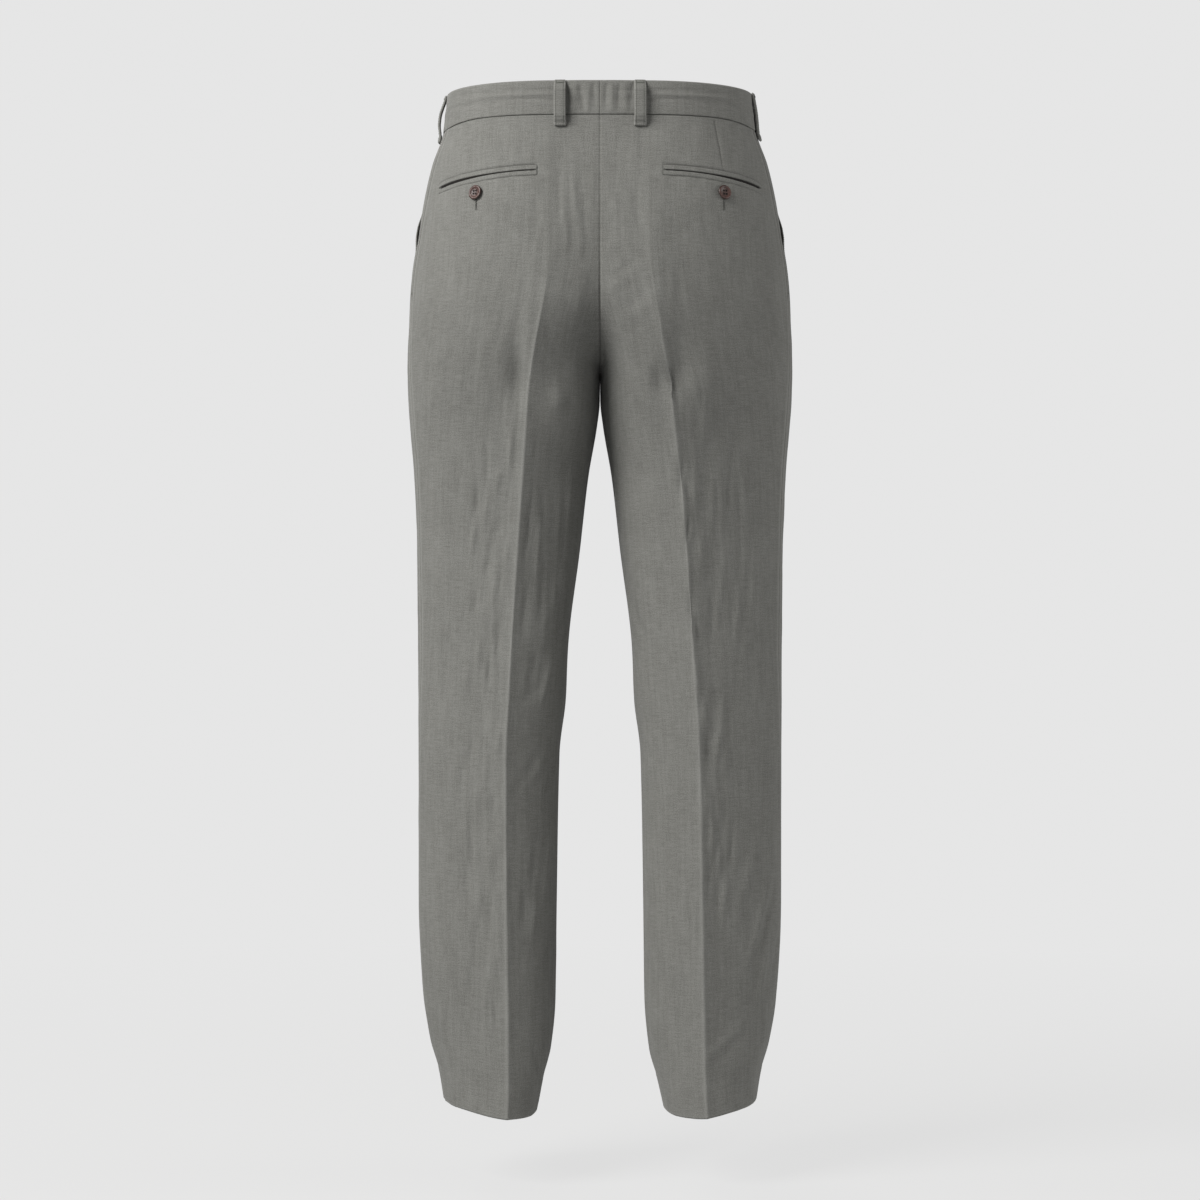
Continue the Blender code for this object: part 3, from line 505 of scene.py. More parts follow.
def soft_noise(across, down, seed):
    """Soft noise from -1 to 1 with about one swell for each unit, the same on every run."""
    lattice = np.random.default_rng(seed).uniform(-1.0, 1.0, (LATTICE, LATTICE))
    i, j = np.floor(across).astype(int), np.floor(down).astype(int)
    f, g = across - i, down - j
    f, g = f * f * (3.0 - 2.0 * f), g * g * (3.0 - 2.0 * g)
    i, j, after_i, after_j = (k % LATTICE for k in (i, j, i + 1, j + 1))
    top = lattice[i, j] * (1.0 - f) + lattice[after_i, j] * f
    low = lattice[i, after_j] * (1.0 - f) + lattice[after_i, after_j] * f
    return top * (1.0 - g) + low * g


def rumple_lift(seed, across, drops):
    """The fine unevenness of worn linen, stretched along the leg and stronger by the crease."""
    down = np.broadcast_to(drops[:, None], across.shape)
    along_leg = ease(down, CRUMPLE_START - CRUMPLE_FADE, CRUMPLE_START)
    along_leg = along_leg * (1.0 - ease(down, CRUMPLE_END, CRUMPLE_END + CRUMPLE_FADE))
    strength = 1.0 + CRUMPLE_GAIN * along_leg * bell(across - CRUMPLE_ACROSS, CRUMPLE_REACH)
    drift = DRIFT * soft_noise(across / DRIFT_WIDE, down / DRIFT_LONG, seed + 5)
    lift = np.zeros_like(across)
    for step, row in enumerate(RUMPLES):
        rumple = dict(zip(RUMPLE_COLUMNS, row))
        place = (across + drift) / rumple["wide"]
        lift += rumple["lift"] * soft_noise(place, down / rumple["long"], seed + step)
    return lift * strength


print("rumple sizes:", [row[0] for row in RUMPLES], "mm wide")

# %% [markdown]
# ## Creases, seams and hem
#
# A pressed crease is a fold whose two flanks bend up to a sharp line, and a sewn seam does the
# opposite: the cloth rolls in over a millimetre or so, and the pressed allowance under it raises a
# low bank beside it, on the side seam more than on the others. Both are told by the distance from
# the line, so one small function each does for every panel.

# %% Crease, seam and hem relief
CREASE_LIFT, CREASE_REACH = 1.7, 6.0
CREASE_FADE = {("back", "left"): (165.0, 285.0), ("back", "right"): (190.0, 310.0),
               ("front", "left"): (60.0, 160.0), ("front", "right"): (60.0, 160.0)}
SEAM_COLUMNS = ("roll", "bank")
SEAMS = {"side": (0.8, 0.40), "inner": (0.75, 0.12), "band": (0.8, 0.0)}
ROLL_REACH, BANK_WIDTH, BANK_FALL = 1.0, 7.0, 4.5
SEAT_ROLL, SEAT_DROPS = 0.6, (170.0, 235.0)
HEM_DEPTH, HEM_LIFT, HEM_STEP_BELOW, HEM_STEP_ABOVE = 34.0, 0.35, 2.0, 3.0
HEM_DIMPLE, HEM_DIMPLE_REACH = 0.25, 1.8


def crease_lift(panel, leg, across, drops):
    """The ridge of the pressed crease, which fades out towards the seat or the waist."""
    shown = ease(drops, *CREASE_FADE[panel, leg])[:, None]
    return CREASE_LIFT * shown * np.exp(-np.abs(across) / CREASE_REACH)


def seam_lift(kind, distance):
    """Across a seam: a roll into the stitches, then the bank that the allowance makes."""
    seam = dict(zip(SEAM_COLUMNS, SEAMS[kind]))
    bank = 1.0 - ease(distance, BANK_WIDTH, BANK_WIDTH + BANK_FALL)
    return seam["bank"] * bank - seam["roll"] * bell(distance, ROLL_REACH)


def seat_share(drops):
    """The centre back seam is pulled flat over the seat and rolls in fully below it."""
    return SEAT_ROLL + (1.0 - SEAT_ROLL) * ease(drops, *SEAT_DROPS)[:, None]


def hem_lift(drops):
    """The turned-up hem: a thicker band with a faint dimple along its hidden stitches."""
    from_edge = BACK_LENGTH - drops
    band = HEM_LIFT * (1.0 - ease(from_edge, HEM_DEPTH - HEM_STEP_BELOW, HEM_DEPTH + HEM_STEP_ABOVE))
    return (band - HEM_DIMPLE * bell(from_edge - HEM_DEPTH, HEM_DIMPLE_REACH))[:, None]


print("crease ridge:", CREASE_LIFT, "mm")

# %% [markdown]
# ## The back panels
#
# Each back panel is one piece of cloth from the waistband seam to the hem. Its relief is summed in
# layers: folds, ripples, rumples, the crease, the rolled seams, the sunk bed of the back pocket
# and, on the right side, the dart that takes in the waist. The folds die away towards the seams,
# because two panels that are sewn together have to meet.

# %% Where things lie on a back panel
POCKET_INNER, POCKET_OUTER, POCKET_DROP = 64.0, 187.0, 94.0
POCKET_FALL, POCKET_FALL_POWER = 11.5, 1.6
POCKET_START, POCKET_END = (-1.5, 0.5), (-0.5, 1.5)
POCKET_HALF, POCKET_BED, POCKET_BED_EDGE = 5.6, 0.55, (0.6, 1.6)
POCKET_EDGE_ABOVE, POCKET_EDGE_BELOW, POCKET_EDGE_REACH = 0.95, 0.10, 1.1
DART_ALONG, DART_DROPS, DART_SLOPE, DART_GROOVE = 120.4, (35.0, 92.0), 0.17, 0.9
DART_START, DART_POINT, DART_DEPTH = (37.0, 40.0), 8.0, {"left": 0.0, "right": 0.7}
DART_REACH, DART_PULL, DART_PULL_FADE = 24.0, 0.9, 40.0
# Columns of a stretch: how many, and how much they crowd at its ends.
BACK_INNER, BACK_SIDE = (74, 0.6), (100, 0.45)
EVEN_REACH, EVEN_DROPS, EVEN_SPAN = 30.0, 75.0, 2.5
EVEN_FROM, EVEN_WALL, EVEN_LEAST = 0.06, (0.6, 4.0), 1e-4
EDGE_CALM = 14.0
PANEL_DROPS = spread_rows((35.0, 0.5), (37.5, 1.1), (44.0, 2.6), (86.0, 1.3), (118.0, 3.6),
                          (300.0, 4.8), (1020.0, 2.4), (1054.0, 1.2), (1060.0, 1.0))


def pocket_line(along):
    """The drop of a back pocket's slit at a distance from the centre back seam."""
    share = np.clip((along - POCKET_INNER) / (POCKET_OUTER - POCKET_INNER), 0.0, 1.2)
    return POCKET_DROP - 1.0 + POCKET_FALL * share ** POCKET_FALL_POWER


def dart_place(drop):
    """Distance along of the dart's line."""
    return DART_ALONG + DART_SLOPE * (drop - DART_DROPS[0])


def stretch(start, bend_at, end, shares_out, shares_in):
    """Distances along from start over a bend to an end, shared out as the two lists say."""
    first = start + (bend_at - start) * shares_out
    second = bend_at + (end - bend_at) * shares_in[1:]
    return np.concatenate((first, second))


def back_places(drop, marks):
    """Columns of a back panel, gathered near the dart so that its fine line has some of its own."""
    places = stretch(0.0, marks["crease_back"], marks["side_seam"],
                     crowded(*BACK_INNER), crowded(*BACK_SIDE))
    away = (places - dart_place(drop)) / DART_REACH
    power = 1.0 + DART_PULL * (1.0 - ease(drop, DART_DROPS[1], DART_DROPS[1] + DART_PULL_FADE))
    pulled = dart_place(drop) + DART_REACH * np.sign(away) * np.abs(away) ** power
    return np.where(np.abs(away) < 1.0, pulled, places)


def evened(grid, inward):
    """The grid with its depths averaged over the rows near the crotch, where cloth hangs free.

    inward lists the columns from the inner edge to the crease. They are averaged at the same share
    of that way, so that the edge's bend doesn't smear; the others are averaged column by column.
    """
    x, y = grid.points[:, :, 0], grid.points[:, :, 1]
    steps = (grid.drops[:, None] - grid.drops[None, :]) / EVEN_REACH
    weights = np.exp(-steps ** 2) * np.gradient(grid.drops)
    weights /= weights.sum(axis=1)[:, None]
    change = weights @ y - y
    edge, crease = x[:, inward[:1]], x[:, inward[-1:]]
    shares = np.maximum((x[:, inward] - edge) / (crease - edge), EVEN_FROM)
    for i in np.flatnonzero(np.abs(grid.drops - CROTCH_DROP) < EVEN_SPAN * EVEN_DROPS):
        near = np.flatnonzero(weights[i] > EVEN_LEAST)
        depths = [np.interp(shares[i], shares[k], y[k, inward]) for k in near]
        here = np.interp(shares[i], shares[i], y[i, inward])
        change[i, inward] = weights[i, near] @ np.array(depths) - here
    share = bell(grid.drops - CROTCH_DROP, EVEN_DROPS)[:, None] * np.ones_like(x)
    below = grid.drops > CROTCH_DROP - 0.5
    share[below] *= ease(x[below] / MM, *EVEN_WALL)
    shift = np.zeros_like(grid.points)
    shift[:, :, 1] = share * change
    return grid.moved(shift)


def keep_seams(grid):
    """0 where the two legs' panels meet or lie close together, 1 elsewhere."""
    room = ease(grid.points[:, :, 0] / MM, *FOLD_FREE_X)
    return np.maximum(room, ease(grid.drops, *FOLD_FREE_DROPS)[:, None])


def from_edges(grid):
    """Distance along the cloth from a panel's first and last column, at every point."""
    return grid.along - grid.along[:, :1], grid.along[:, -1:] - grid.along


def inside_edges(grid):
    """0 at a panel's edges and its top, 1 inside: folds die away where the cloth is sewn."""
    first, last = from_edges(grid)
    top = ease(grid.drops - BAND_DEPTH, 0.0, EDGE_CALM * 2)[:, None]
    return ease(first, 0.0, EDGE_CALM) * ease(last, 0.0, EDGE_CALM) * top


def pocket_lift(grid):
    """The sunk bed of a back pocket, with a fine step where its welts are seamed in."""
    past_slit = grid.drops[:, None] - pocket_line(grid.along)
    from_slit = np.abs(past_slit)
    inside = ease(grid.along, POCKET_INNER + POCKET_START[0], POCKET_INNER + POCKET_START[1])
    inside = inside * (1.0 - ease(grid.along, POCKET_OUTER + POCKET_END[0], POCKET_OUTER + POCKET_END[1]))
    narrow, wide = POCKET_BED_EDGE
    bed = POCKET_BED * (1.0 - ease(from_slit, POCKET_HALF - narrow, POCKET_HALF + wide))
    edge = np.where(past_slit < 0.0, POCKET_EDGE_ABOVE, POCKET_EDGE_BELOW)
    return -inside * (bed + edge * bell(from_slit - POCKET_HALF, POCKET_EDGE_REACH))


def dart_lift(grid, leg):
    """The dart's fine groove, which starts under the waistband and runs out to a point."""
    drops = grid.drops[:, None]
    line = bell(grid.along - dart_place(drops), DART_GROOVE)
    length = ease(drops, *DART_START) * (1.0 - ease(drops, DART_DROPS[1] - DART_POINT, DART_DROPS[1]))
    return -DART_DEPTH[leg] * line * length


def cloth_lift(panel, leg, plain, across, keep):
    """What every panel has: ripples and rumples inside its edges, and the pressed crease."""
    soft = ripple_lift(panel, leg, across, plain.drops)
    soft += rumple_lift(RUMPLE_SEEDS[panel, leg], across, plain.drops)
    return soft * inside_edges(plain) + crease_lift(panel, leg, across, plain.drops) * keep


def end_lift(plain):
    """What every panel has at its ends: the hem below and the waistband seam above."""
    return hem_lift(plain.drops) + seam_lift("band", plain.drops - BAND_DEPTH)[:, None]


def back_panel(leg):
    """A back panel: its form with the large folds, its relief grid, and distances from the crease."""
    plain, marked = grid_of(leg, PANEL_DROPS, back_places)
    plain.points[plain.drops < CROTCH_DROP, 0, 0] = 0.0
    plain = evened(plain, np.arange(BACK_INNER[0]))
    across = plain.along - np.array([marks["crease_back"] for marks in marked])[:, None]
    keep = keep_seams(plain)
    formed = plain.lifted(fold_lift(FOLDS["back", leg], across, plain.drops) * keep)
    first, last = from_edges(plain)
    lift = cloth_lift("back", leg, plain, across, keep)
    lift += seam_lift("inner", first) * seat_share(plain.drops) + seam_lift("side", last)
    lift += end_lift(plain)
    lift += pocket_lift(plain) + dart_lift(plain, leg)
    grid = formed.lifted(lift)
    grid.points[grid.drops < CROTCH_DROP, 0, 0] = 0.0
    return formed, grid, across


print("back panel:", len(PANEL_DROPS), "rows of", BACK_INNER[0] + BACK_SIDE[0] - 1, "points")

# %% [markdown]
# ## The front panels and the hip facings
#
# A front panel ends at the slant pocket's mouth, which gapes a little over the hip, so a facing of
# the same cloth shows behind it. At the centre the left front laps over the right one down to the
# end of the fly, and its edge is lifted clear of the cloth it covers.

# %% Front panels
FLY_LAP, FLY_LAP_FADE, FLY_LAP_REACH = 4.0, (180.0, 205.0), 10.0
FLY_RISE, FLY_LIFT_FADE, FLY_LIFT_REACH = 1.8, (210.0, 240.0), 22.0
MOUTH_TOP_IN, MOUTH_END_DROP, MOUTH_SEAM_FADE = 60.0, 222.0, 10.0
MOUTH_GAPE, GAPE_REACH = {"left": 2.6, "right": 2.3}, 40.0
GAPE_OPENS, GAPE_CLOSES = (122.0, 142.0), (148.0, 168.0)
FRONT_SIDE, FRONT_INNER = (96, 0.5), (74, 0.6)


def mouth_inset(drop):
    """Distance from the side seam to the slant pocket's mouth."""
    return MOUTH_TOP_IN * max(0.0, (MOUTH_END_DROP - drop) / (MOUTH_END_DROP - BAND_DEPTH))


def front_places(drop, marks):
    """Columns of a front panel: side seam or pocket mouth, crease, inner edge."""
    return stretch(marks["side_seam"] + mouth_inset(drop), marks["crease_front"],
                   marks["inner_front"], crowded(*FRONT_SIDE), crowded(*FRONT_INNER))


def fly_shift(grid):
    """How the left front's edge reaches over the right front and is lifted clear of it."""
    x = grid.points[:, :, 0] / MM
    drops = grid.drops[:, None]
    near = 1.0 - ease(x, 0.0, FLY_LIFT_REACH)
    lap = FLY_LAP * (1.0 - ease(drops, *FLY_LAP_FADE))
    rise = FLY_RISE * (1.0 - ease(drops, *FLY_LIFT_FADE))
    at_edge = 1.0 - ease(x, 0.0, FLY_LAP_REACH)
    turns = np.array([measure("turn_f", drop) for drop in grid.drops])[:, None]
    shift = np.zeros_like(grid.points)
    shift[:, :, 0] = -lap * at_edge
    shift[:, :, 1] = -rise * near - np.tan(np.radians(turns)) * lap * at_edge
    return shift * MM


def front_panel(leg):
    """A front panel: its form with folds, gape and lap, its relief, and distances from the crease."""
    plain, marked = grid_of(leg, PANEL_DROPS, front_places)
    plain.points[plain.drops < CROTCH_DROP, -1, 0] = 0.0
    plain = evened(plain, np.arange(plain.along.shape[1] - 1, FRONT_SIDE[0] - 2, -1))
    across = np.array([marks["crease_front"] for marks in marked])[:, None] - plain.along
    keep = keep_seams(plain)
    first, last = from_edges(plain)
    drops = plain.drops[:, None]
    opened = ease(drops, *GAPE_OPENS) * (1.0 - ease(drops, *GAPE_CLOSES))
    form = fold_lift(FOLDS["front", leg], across, plain.drops) * keep
    form += MOUTH_GAPE[leg] * opened * (1.0 - ease(first, 0.0, GAPE_REACH))
    shift = plain.normals * form[:, :, None] * MM
    if leg == "left":
        shift = shift + fly_shift(plain)
    formed = plain.moved(shift)
    lift = cloth_lift("front", leg, plain, across, keep)
    lift += seam_lift("side", first) * ease(drops, MOUTH_END_DROP - MOUTH_SEAM_FADE, MOUTH_END_DROP)
    lift += seam_lift("inner", last) * (ease(drops, *FLY_LAP_FADE) if leg == "left" else 1.0)
    lift += end_lift(plain)
    grid = formed.lifted(lift)
    joined = (grid.drops < CROTCH_DROP) & (grid.drops > (FLY_LAP_FADE[1] if leg == "left" else 0.0))
    grid.points[joined, -1, 0] = 0.0
    return formed, grid, across


print("pocket mouth: down to drop", MOUTH_END_DROP)

# %% Hip facings
FACING_UNDERLAP, FACING_SINK, FACING_CLEAR = 16.0, (0.70, 0.97), 2.2
FACING_OPEN, FACING_UNDER = (26, 0.4), np.linspace(0.25, 1.0, 4)
FACING_DROPS = spread_rows((35.0, 0.5), (37.5, 1.1), (44.0, 3.0), (206.0, 1.5), (212.0, 1.0))


def facing_places(drop, marks):
    """Columns of the hip facing: up to the pocket mouth, then on under the front panel."""
    mouth = mouth_inset(drop)
    under = mouth + FACING_UNDERLAP * FACING_UNDER
    return marks["side_seam"] + np.concatenate((mouth * crowded(*FACING_OPEN), under))


def facing_panel(leg):
    """Level with the cloth at the side seam, then sunk to pass under the front panel."""
    plain, _ = grid_of(leg, FACING_DROPS, facing_places)
    first, _ = from_edges(plain)
    mouths = np.array([mouth_inset(drop) for drop in plain.drops])[:, None]
    formed = plain.lifted(-FACING_CLEAR * ease(first / mouths, *FACING_SINK))
    lift = seam_lift("side", first) + seam_lift("band", plain.drops - BAND_DEPTH)[:, None]
    return formed, formed.lifted(lift)


print("facing rows:", len(FACING_DROPS))

# %% [markdown]
# ## From a grid to a cloth shell
#
# Solidify would give a panel its thickness, but it knows nothing of seams. The shell is built
# directly: an outer sheet, an inner sheet moved in by the cloth's thickness, and a rim whose
# middle row can bulge, so that a folded edge such as a hem is round while a seam edge stays flat
# beside its neighbour. Each corner keeps its place on the cloth as a UV in metres, and each point
# keeps a value for the colour to follow: above 0 the cloth is paler, from rubbing and from painted
# highlight, and below 0 it carries painted shade, as in seams, slits and grooves.

# %% Build a shell
ROUND_EDGE, SHARP_EDGE = 0.45, math.radians(88.0)


def shell(name, grid, wall, mirror, rounded=(), wear_and_painted_light=None, inner=None, grain=None):
    """A closed cloth shell of a grid, as thick as wall says or reaching to its inner points.

    rounded names its folded edges; a value at each point tells where it is paler, from rubbing and
    painted highlight, and where painted shade darkens it; and grain is the distance across the
    lengthwise threads, where that isn't the grid's own.
    """
    outer = grid.points
    rows, columns = outer.shape[:2]
    if inner is None:
        inner = outer - grid.normals * np.broadcast_to(wall, (rows, columns))[:, :, None] * MM
    sides = {"top": (1, 0), "last": (0, -1), "bottom": (-1, 0), "first": (0, 1)}
    rim = [(0, c, "top") for c in range(columns)]
    rim += [(r, columns - 1, "last") for r in range(1, rows)]
    rim += [(rows - 1, c, "bottom") for c in range(columns - 2, -1, -1)]
    rim += [(r, 0, "first") for r in range(rows - 2, 0, -1)]
    middle = []
    for r, c, side in rim:
        ahead = outer[r, c] - outer[r + sides[side][0], c + sides[side][1]]
        ahead = ahead / max(np.linalg.norm(ahead), 1e-9)
        thick = np.linalg.norm(outer[r, c] - inner[r, c])
        bulge = ahead * thick * ROUND_EDGE * (side in rounded)
        middle.append((outer[r, c] + inner[r, c]) / 2 + bulge)
    points = np.concatenate((outer.reshape(-1, 3), inner.reshape(-1, 3), np.array(middle)))
    index = np.arange(rows * columns).reshape(rows, columns)
    quads = np.stack((index[:-1, :-1], index[:-1, 1:], index[1:, 1:], index[1:, :-1]), axis=2)
    quads = quads.reshape(-1, 4)
    half = rows * columns
    ring = 2 * half + np.arange(len(rim))
    edge = np.array([index[r, c] for r, c, _ in rim])
    after = np.roll(np.arange(len(rim)), -1)
    faces = np.concatenate((
        quads,
        quads[:, ::-1] + half,
        np.stack((edge, ring, ring[after], edge[after]), axis=1),
        np.stack((ring, edge + half, edge[after] + half, ring[after]), axis=1),
    ))
    if mirror:
        points = points * OTHER_SIDE
        faces = faces[:, ::-1]
    down = np.broadcast_to(grid.drops[:, None], grid.along.shape)
    place = np.stack((grid.along if grain is None else grain, down), axis=2).reshape(-1, 2)
    painted_and_worn = np.zeros(half) if wear_and_painted_light is None else np.broadcast_to(wear_and_painted_light, (rows, columns)).reshape(-1)
    return cloth_object(name, points, faces, np.concatenate((place, place, place[edge])) * MM,
                        np.concatenate((painted_and_worn, painted_and_worn, painted_and_worn[edge])))


def cloth_object(name, points, faces, places, painted_and_worn):
    """A smooth mesh object with its places on the cloth as UVs and, as an attribute, its paleness from
    rubbing and painted highlight and its painted shade.
    """
    mesh = bpy.data.meshes.new(name)
    mesh.from_pydata(points.tolist(), [], faces.tolist())
    corners = np.zeros(len(mesh.loops), dtype=np.int32)
    mesh.loops.foreach_get("vertex_index", corners)
    layer = mesh.uv_layers.new(name="Cloth")
    layer.uv.foreach_set("vector", places[corners].astype(np.float32).ravel())
    wear_and_painted_light = mesh.attributes.new("wear_and_painted_light", "FLOAT", "POINT")
    wear_and_painted_light.data.foreach_set("value", painted_and_worn.astype(np.float32))
    mesh.shade_smooth()
    mesh.set_sharp_from_angle(angle=SHARP_EDGE)
    return placed(name, mesh)


print("a folded edge bulges by", ROUND_EDGE, "of its thickness")

# %% [markdown]
# ## Sew the panels
#
# A trouser panel doesn't stop at the waistband seam: its edge is turned up inside the band, which
# also keeps light from showing through the seam. Two short rows do that here. The hem is two
# layers thick, so the wall grows there, on the inside.

# %% Panels and facings in cloth
TURN_UP = ((1.2, 1.9), (5.0, 2.5))
HEM_WALL = 1.1
# Paler: rubbing at the pressed crease and the hem, and a painted highlight on the crest of the side seam's
# bank.
CREASE_RUB, CREASE_RUB_REACH, HEM_RUB, HEM_RUB_REACH = 0.9, 1.5, 0.5, 1.5
SEAM_HIGHLIGHT, SEAM_HIGHLIGHT_PLACE, SEAM_HIGHLIGHT_REACH = 0.8, 3.0, 2.2
# Painted shade: in the seams (lighter near the top of the centre back), along the waistband seam, near
# black in the pocket slit, as painted shadow along the welts' seams (strong above the slit), in the dart's
# groove and along the facing's seam.
SEAM_SHADE, SHADE_REACH, SHADE_ABOVE, SHADE_DROPS = 0.45, 0.8, 0.35, (90.0, 240.0)
BAND_SEAM_SHADE, BAND_SEAM_REACH = 0.7, 0.6
SLIT_SHADE, SLIT_IN, SLIT_REACH = -2.2, 2.0, 3.0
WELT_SHADOW_ABOVE, WELT_SHADOW_BELOW, WELT_SHADOW_REACH = 0.8, 0.1, 0.8
DART_SHADE, DART_SHADE_REACH, DART_SHOWS = 0.4, 0.7, -0.1
FACING_SEAM_REACH = 0.9
GRAIN_START = 200.0
PIECES, PLAIN, FACE, CUTS = {}, {}, {}, {}


def with_turn_up(values):
    """Values on a panel's grid, with the first row's told again for the turned-up rows."""
    return np.concatenate((np.repeat(values[:1], len(TURN_UP), axis=0), values))


def tucked(grid):
    """A panel's grid with its top edge turned up inside the waistband."""
    rows = []
    for rise, sink in reversed(TURN_UP):
        rows.append(grid.points[0] + (0.0, 0.0, rise * MM) - grid.normals[0] * sink * MM)
    drops = [grid.drops[0] - rise for rise, _ in reversed(TURN_UP)]
    return Grid(np.concatenate((rows, grid.points)), with_turn_up(grid.normals),
                with_turn_up(grid.along), np.concatenate((drops, grid.drops)))


def cut_size(grid):
    """Width, length and area in metres of the flat piece that a grid is cut from."""
    rows = np.linalg.norm(np.diff(grid.points, axis=1), axis=2).sum(axis=1)
    columns = np.linalg.norm(np.diff(grid.points, axis=0), axis=2).sum(axis=0)
    across = np.diff(grid.points, axis=1)[:-1]
    down = np.diff(grid.points, axis=0)[:, :-1]
    area = np.linalg.norm(np.cross(across, down), axis=2).sum()
    return float(rows.max()), float(columns.max()), float(area)


def paler_and_shaded_at(panel, leg, grid, across):
    """Where the cloth is paler from rubbing at creases and the hem, where a highlight is painted on the
    side seam's bank, and where painted shade darkens the seams and the waistband seam.
    """
    first, last = from_edges(grid)
    side = last if panel == "back" else first
    pressed = ease(grid.drops, *CREASE_FADE[panel, leg])[:, None]
    rubbed_and_highlit = CREASE_RUB * np.exp(-np.abs(across) / CREASE_RUB_REACH) * pressed
    rubbed_and_highlit = rubbed_and_highlit + HEM_RUB * bell(BACK_LENGTH - grid.drops, HEM_RUB_REACH)[:, None]
    # Painted highlight on the crest of the side seam's bank.
    rubbed_and_highlit = rubbed_and_highlit + SEAM_HIGHLIGHT * bell(side - SEAM_HIGHLIGHT_PLACE, SEAM_HIGHLIGHT_REACH)
    # Painted shade in the seams and along the waistband seam.
    deeper = SHADE_ABOVE + (1.0 - SHADE_ABOVE) * ease(grid.drops, *SHADE_DROPS)[:, None]
    shaded = SEAM_SHADE * np.maximum(deeper * bell(first, SHADE_REACH), bell(last, SHADE_REACH))
    from_band = (grid.drops - BAND_DEPTH)[:, None]
    shaded = np.maximum(shaded, BAND_SEAM_SHADE * bell(from_band, BAND_SEAM_REACH))
    return rubbed_and_highlit * (1.0 - shaded) - shaded


def back_details(wear_and_painted_light, leg, grid):
    """A back panel's values with painted shade drawn in: near black in the pocket slit, as painted shadow
    along the welts' seams, and down the dart.
    """
    past_slit = grid.drops[:, None] - pocket_line(grid.along)
    slit = np.abs(past_slit)
    inside = (grid.along > POCKET_INNER + SLIT_IN) & (grid.along < POCKET_OUTER - SLIT_IN)
    # Painted shade, near black, in the pocket slit.
    wear_and_painted_light = np.where(inside & (slit < SLIT_REACH), SLIT_SHADE, wear_and_painted_light)
    # Painted shadow along the welts' seams, much stronger above the slit than below it.
    seam = np.where(past_slit < 0.0, WELT_SHADOW_ABOVE, WELT_SHADOW_BELOW)
    wear_and_painted_light = wear_and_painted_light - inside * seam * bell(slit - POCKET_HALF, WELT_SHADOW_REACH)
    # Painted shade down the dart's groove.
    dart = bell(grid.along - dart_place(grid.drops[:, None]), DART_SHADE_REACH)
    return wear_and_painted_light - DART_SHADE * dart * (dart_lift(grid, leg) < DART_SHOWS)


for leg in ("left", "right"):
    for panel, make in (("back", back_panel), ("front", front_panel)):
        formed, grid, across = make(leg)
        # Paler from rubbing and painted highlight, darker where shade is painted.
        wear_and_painted_light = paler_and_shaded_at(panel, leg, grid, across)
        if panel == "back":
            wear_and_painted_light = back_details(wear_and_painted_light, leg, grid)
        turned = 1.0 - ease(BACK_LENGTH - grid.drops, HEM_DEPTH - 1.0, HEM_DEPTH + 1.0)
        walls = CLOTH + HEM_WALL * with_turn_up(turned)[:, None]
        name = "cloth_" + panel + "_" + leg
        folded = ("bottom", "first") if panel == "front" else ("bottom",)
        PLAIN[panel, leg], FACE[panel, leg], CUTS[name] = formed, grid, cut_size(formed)
        PIECES[name] = shell(name, tucked(grid), walls, leg == "right", folded, with_turn_up(wear_and_painted_light),
                             grain=with_turn_up(across) + GRAIN_START)
        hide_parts(panel + "_" + leg)
        print(name, "cut:", [round(size, 3) for size in CUTS[name]])
    formed, grid = facing_panel(leg)
    name = "cloth_hip_facing_" + leg
    PLAIN["facing", leg], FACE["facing", leg], CUTS[name] = formed, grid, cut_size(formed)
    # Painted shade along the facing's seamed edge.
    shaded = with_turn_up(-bell(from_edges(grid)[0], FACING_SEAM_REACH))
    PIECES[name] = shell(name, tucked(grid), CLOTH, leg == "right", (), shaded)
    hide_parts("hip_facing_" + leg)

# %% [markdown]
# ## The waistband
#
# The band is a strip of cloth folded over a stiffener, so its top edge is a round fold and its
# lower edge is seamed to the panels. Between the back loops it is drawn in a little and puckers,
# and all round it carries the faint level creases of being worn under a belt. The left half goes
# on past the centre front as a tab, over the right half.

# %% Waistband halves
BAND_DROPS = np.concatenate(([0.9, 1.3, 2.0, 3.0], np.linspace(4.2, 31.5, 20),
                             [32.6, 33.5, 34.1, 34.5, 34.85]))
BAND_BACK, BAND_SIDE, BAND_FRONT, BAND_CENTRE = (50, 0.3), (60, 0.3), (56, 0.2), (40, 0.2)
# The columns are those of the large folds, with across counted from just outside a back loop.
BAND_FOLDS = ((-17, 9, 2.2, 15, 3, -1.1), (-24, 20, 2.8, 20, -3, 0.9), (-31, 13, 2.2, 17, 4, -1.0),
              (-38, 20, 2.4, 20, 0, 0.9), (-44, 12, 2.2, 15, 3, -0.9), (10, 10, 1.8, 44, 88, -0.75),
              (20, 14.5, 2.0, 50, -89, 0.80), (26, 19, 2.0, 46, 88, -0.75), (88, 9, 1.9, 40, 87, -0.65),
              (84, 14, 2.0, 42, 90, 0.70), (92, 20, 2.2, 44, 87, -0.65), (140, 20, 2.4, 40, 88, 0.40),
              (170, 12, 2.2, 40, -88, -0.40))
BAND_FOLDS_FROM, BAND_CALM, BAND_CALM_DROPS = 50.0, (60.0, 20.0), ((1.0, 6.0), (30.0, 34.0))
BAND_RUMPLES = ((34.0, 7.0, 0.16), (12.0, 20.0, 0.10))
BAND_CENTRE_ROLL, BAND_SEAM_ROLL, BAND_ROLL_REACH = 0.28, 0.4, 0.9
